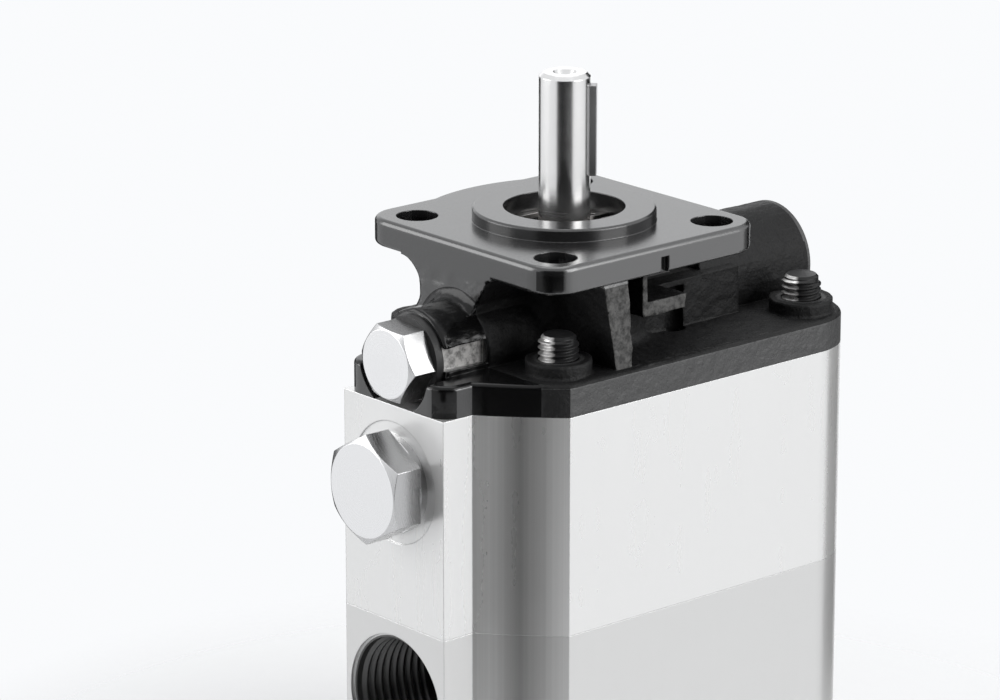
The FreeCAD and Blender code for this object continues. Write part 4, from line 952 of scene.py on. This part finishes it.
def makeFrontCover():
    # the cover's own shape with a sand-cast skin between flange and foot
    c = casting
    source = nodes["front_cover"].data
    builder = bmesh.new()
    builder.from_mesh(source)
    bmesh.ops.remove_doubles(builder, verts=builder.verts, dist=mergeReach)
    for _ in range(c["rounds"]):
        edges = [e for e in builder.edges if isLong(e)]
        if edges:
            bmesh.ops.subdivide_edges(builder, edges=edges, cuts=1)
            bmesh.ops.triangulate(builder, faces=[f for f in builder.faces if len(f.verts) > 3])
    # the relief round the pilot doesn't show in the photo, so it's level with the flange
    for vertex in builder.verts:
        if inRelief(vertex.co):
            vertex.co.z = 0
    bmesh.ops.dissolve_degenerate(builder, edges=builder.edges, dist=mergeReach)
    builder.normal_update()
    for face in builder.faces:
        face.material_index = coverSlot(face)
    moves = []
    for vertex in builder.verts:
        share = lumpShare(vertex.co)
        if share > 0:
            lumps = noise.fractal(vertex.co * c["lumpSize"], *c["lumpNoise"])
            moves.append((vertex, vertex.normal * (share * lumps * c["lumpDepth"])))
    for vertex, step in moves:
        vertex.co += step
    print("front cover faces:", len(builder.faces), "moved:", len(moves))
    skins = "castCover sandCast pilotCoat"
    cover = finishPiece("sand_cast_front_cover", builder, skins, ["front_cover"])
    keepNormals(cover.data, source)


makeThroughBolts()
makePortThreads()
makeSprings()
makeFrontCover()
print("bolts, port threads, springs and front cover made")


# studio

def around(azimuth, elevation, distance):
    a, e = math.radians(azimuth), math.radians(elevation)
    return Vector((math.sin(a) * math.cos(e), -math.cos(a) * math.cos(e), math.sin(e))) * distance


studio = {
    "floorZ": cadLow.z,
    "floorHalf": 1.2,
    "floorBack": 0.01,
    "floorColour": (0.93, 0.935, 0.945),
    "floorDust": (0.8, 0.8, 0.8),
    "floorDustShare": 0.02,
    "floorSolid": 0.085,  # the floor is clear from floorFade on
    "floorFade": 0.19,
    "backdrop": (0.955, 0.965, 0.980),
    "fill": 0.42,
    "cardAway": 0.6,
    "cardSplit": -0.222,
}
# width and height in metres, power in watts
lamps = {
    "leftBox": {"place": around(-40, 15, 0.9), "aim": (0, 0, -0.06), "size": (0.6, 0.7), "power": 4.0},
    "rightBox": {"place": around(112, 20, 0.9), "aim": (0, 0, -0.06), "size": (0.6, 0.7), "power": 6.0},
    "topBox": {"place": (-0.2, 0.2, 0.9), "aim": (0, 0, -0.06), "size": (0.7, 0.7), "power": 2.5},
    "backBox": {"place": around(238, 15, 1.1), "aim": (0, 0, 0), "size": (0.8, 0.4), "power": 0.4},
}
# upright cards from one azimuth to another, between two heights
uprightCards = {
    "upperCard": {"azimuths": (14, 84), "heights": (studio["cardSplit"], 0.34)},
    "lowerCard": {"azimuths": (22, 47), "heights": (-0.66, studio["cardSplit"])},
}
edgeCards = {
    "backCard": {"place": (-0.16, 0.45, 0.10), "size": (0.26, 0.26)},
    "rightEdgeCard": {"place": around(174, -17, 0.6), "size": (0.42, 0.5)},
    "leftEdgeCard": {"place": around(262, -17, 0.6), "size": (0.30, 0.5)},
}


def flatPiece(name, width, height, segments, place):
    # a flat rectangle, set in its place
    builder = bmesh.new()
    bmesh.ops.create_grid(builder, x_segments=segments, y_segments=segments, size=0.5)
    bmesh.ops.scale(builder, verts=builder.verts, vec=(width, height, 1))
    bmesh.ops.transform(builder, verts=builder.verts, matrix=place)
    mesh = bpy.data.meshes.new(name)
    builder.to_mesh(mesh)
    builder.free()
    piece = bpy.data.objects.new(name, mesh)
    scene.collection.objects.link(piece)
    return piece


def makeFloor():
    s = studio
    place = Matrix.Translation((0, s["floorBack"], s["floorZ"]))
    floor = flatPiece("floor", 2 * s["floorHalf"], 2 * s["floorHalf"], 2, place)
    material, tree, shader, vector = startMaterial("paleFloor", {"Roughness": 0.8})
    dust = times(tree, noiseNode(tree, vector, 40.0, 4.0), s["floorDustShare"])
    tone = mixColour(tree, dust, s["floorColour"], s["floorDust"])
    tree.links.new(tone, shader.inputs["Base Color"])
    away = vectorNode(tree, "LENGTH", vectorNode(tree, "MULTIPLY", vector, (1, 1, 0)))
    clear = addNode(tree, "ShaderNodeBsdfTransparent")
    mix = addNode(tree, "ShaderNodeMixShader")
    tree.links.new(rangeNode(tree, away, s["floorSolid"], s["floorFade"]), mix.inputs[0])
    tree.links.new(shader.outputs[0], mix.inputs[1])
    tree.links.new(clear.outputs[0], mix.inputs[2])
    output = [n for n in tree.nodes if n.bl_idname == "ShaderNodeOutputMaterial"][0]
    tree.links.new(mix.outputs[0], output.inputs["Surface"])
    floor.data.materials.append(material)


def makeWorld():
    # camera, gloss and clear rays see the backdrop, and all others a weaker even fill
    world = bpy.data.worlds.new("studioWorld")
    scene.world = world
    world.use_nodes = True
    tree = world.node_tree
    tree.nodes.clear()
    output = addNode(tree, "ShaderNodeOutputWorld")
    backdrop = {"Color": (*studio["backdrop"], 1.0), "Strength": 1.0}
    seen = addNode(tree, "ShaderNodeBackground", None, backdrop)
    fill = addNode(tree, "ShaderNodeBackground", None, {"Color": (1, 1, 1, 1), "Strength": studio["fill"]})
    path = addNode(tree, "ShaderNodeLightPath").outputs
    straight = mathNode(tree, "ADD", path["Is Camera Ray"], path["Is Glossy Ray"], True)
    straight = mathNode(tree, "ADD", straight, path["Is Transmission Ray"], True)
    mix = addNode(tree, "ShaderNodeMixShader")
    tree.links.new(straight, mix.inputs[0])
    tree.links.new(fill.outputs[0], mix.inputs[1])
    tree.links.new(seen.outputs[0], mix.inputs[2])
    tree.links.new(mix.outputs[0], output.inputs["Surface"])


def aimed(place, target):
    back = (Vector(place) - Vector(target)).normalized()
    return Matrix.Translation(place) @ back.to_track_quat("Z", "Y").to_matrix().to_4x4()


def makeLamps():
    for name, values in lamps.items():
        data = bpy.data.lights.new(name, "AREA")
        data.shape = "RECTANGLE"
        data.size, data.size_y = values["size"]
        data.energy = values["power"]
        lamp = bpy.data.objects.new(name, data)
        scene.collection.objects.link(lamp)
        lamp.matrix_world = aimed(values["place"], values["aim"])


def makeDarkCard(name, width, height, place):
    # black card that the camera doesn't see, as a studio sets in front of dark sides
    card = flatPiece(name, width, height, 1, place)
    card.visible_camera = False
    black = {"Base Color": (0, 0, 0, 1), "Specular IOR Level": 0.0, "Roughness": 1.0}
    card.data.materials.append(startMaterial(name + "Black", black)[0])


def makeDarkCards():
    for name, card in uprightCards.items():
        low, high = card["heights"]
        first, last = card["azimuths"]
        middle = around((first + last) / 2, 0, studio["cardAway"])
        middle.z = (low + high) / 2
        width = 2 * studio["cardAway"] * math.tan(math.radians(last - first) / 2)
        makeDarkCard(name, width, high - low, aimed(middle, (0, 0, middle.z)))
    for name, card in edgeCards.items():
        makeDarkCard(name, *card["size"], aimed(card["place"], (0, 0, 0)))


makeFloor()
makeWorld()
makeLamps()
makeDarkCards()
print("studio set")

photoCamera = {
    "position": (0.8513, -0.7604, 0.3076),
    "back": (0.72326, -0.62837, 0.28643),
    "right": (0.65585, 0.75489, 0.0),
    "up": (-0.21622, 0.18786, 0.95810),
    "lens": 174.08,
    "sensor": 36.0,
    "clip": (0.05, 20.0),
}


def makeCamera():
    c = photoCamera
    data = bpy.data.cameras.new("photoCamera")
    data.lens = c["lens"]
    data.sensor_width = c["sensor"]
    data.clip_start, data.clip_end = c["clip"]
    camera = bpy.data.objects.new("photoCamera", data)
    scene.collection.objects.link(camera)
    turn = Matrix((c["right"], c["up"], c["back"])).transposed().to_4x4()
    camera.matrix_world = Matrix.Translation(c["position"]) @ turn
    scene.camera = camera


makeCamera()
scene.view_settings.view_transform = "Standard"

bpy.context.view_layer.update()
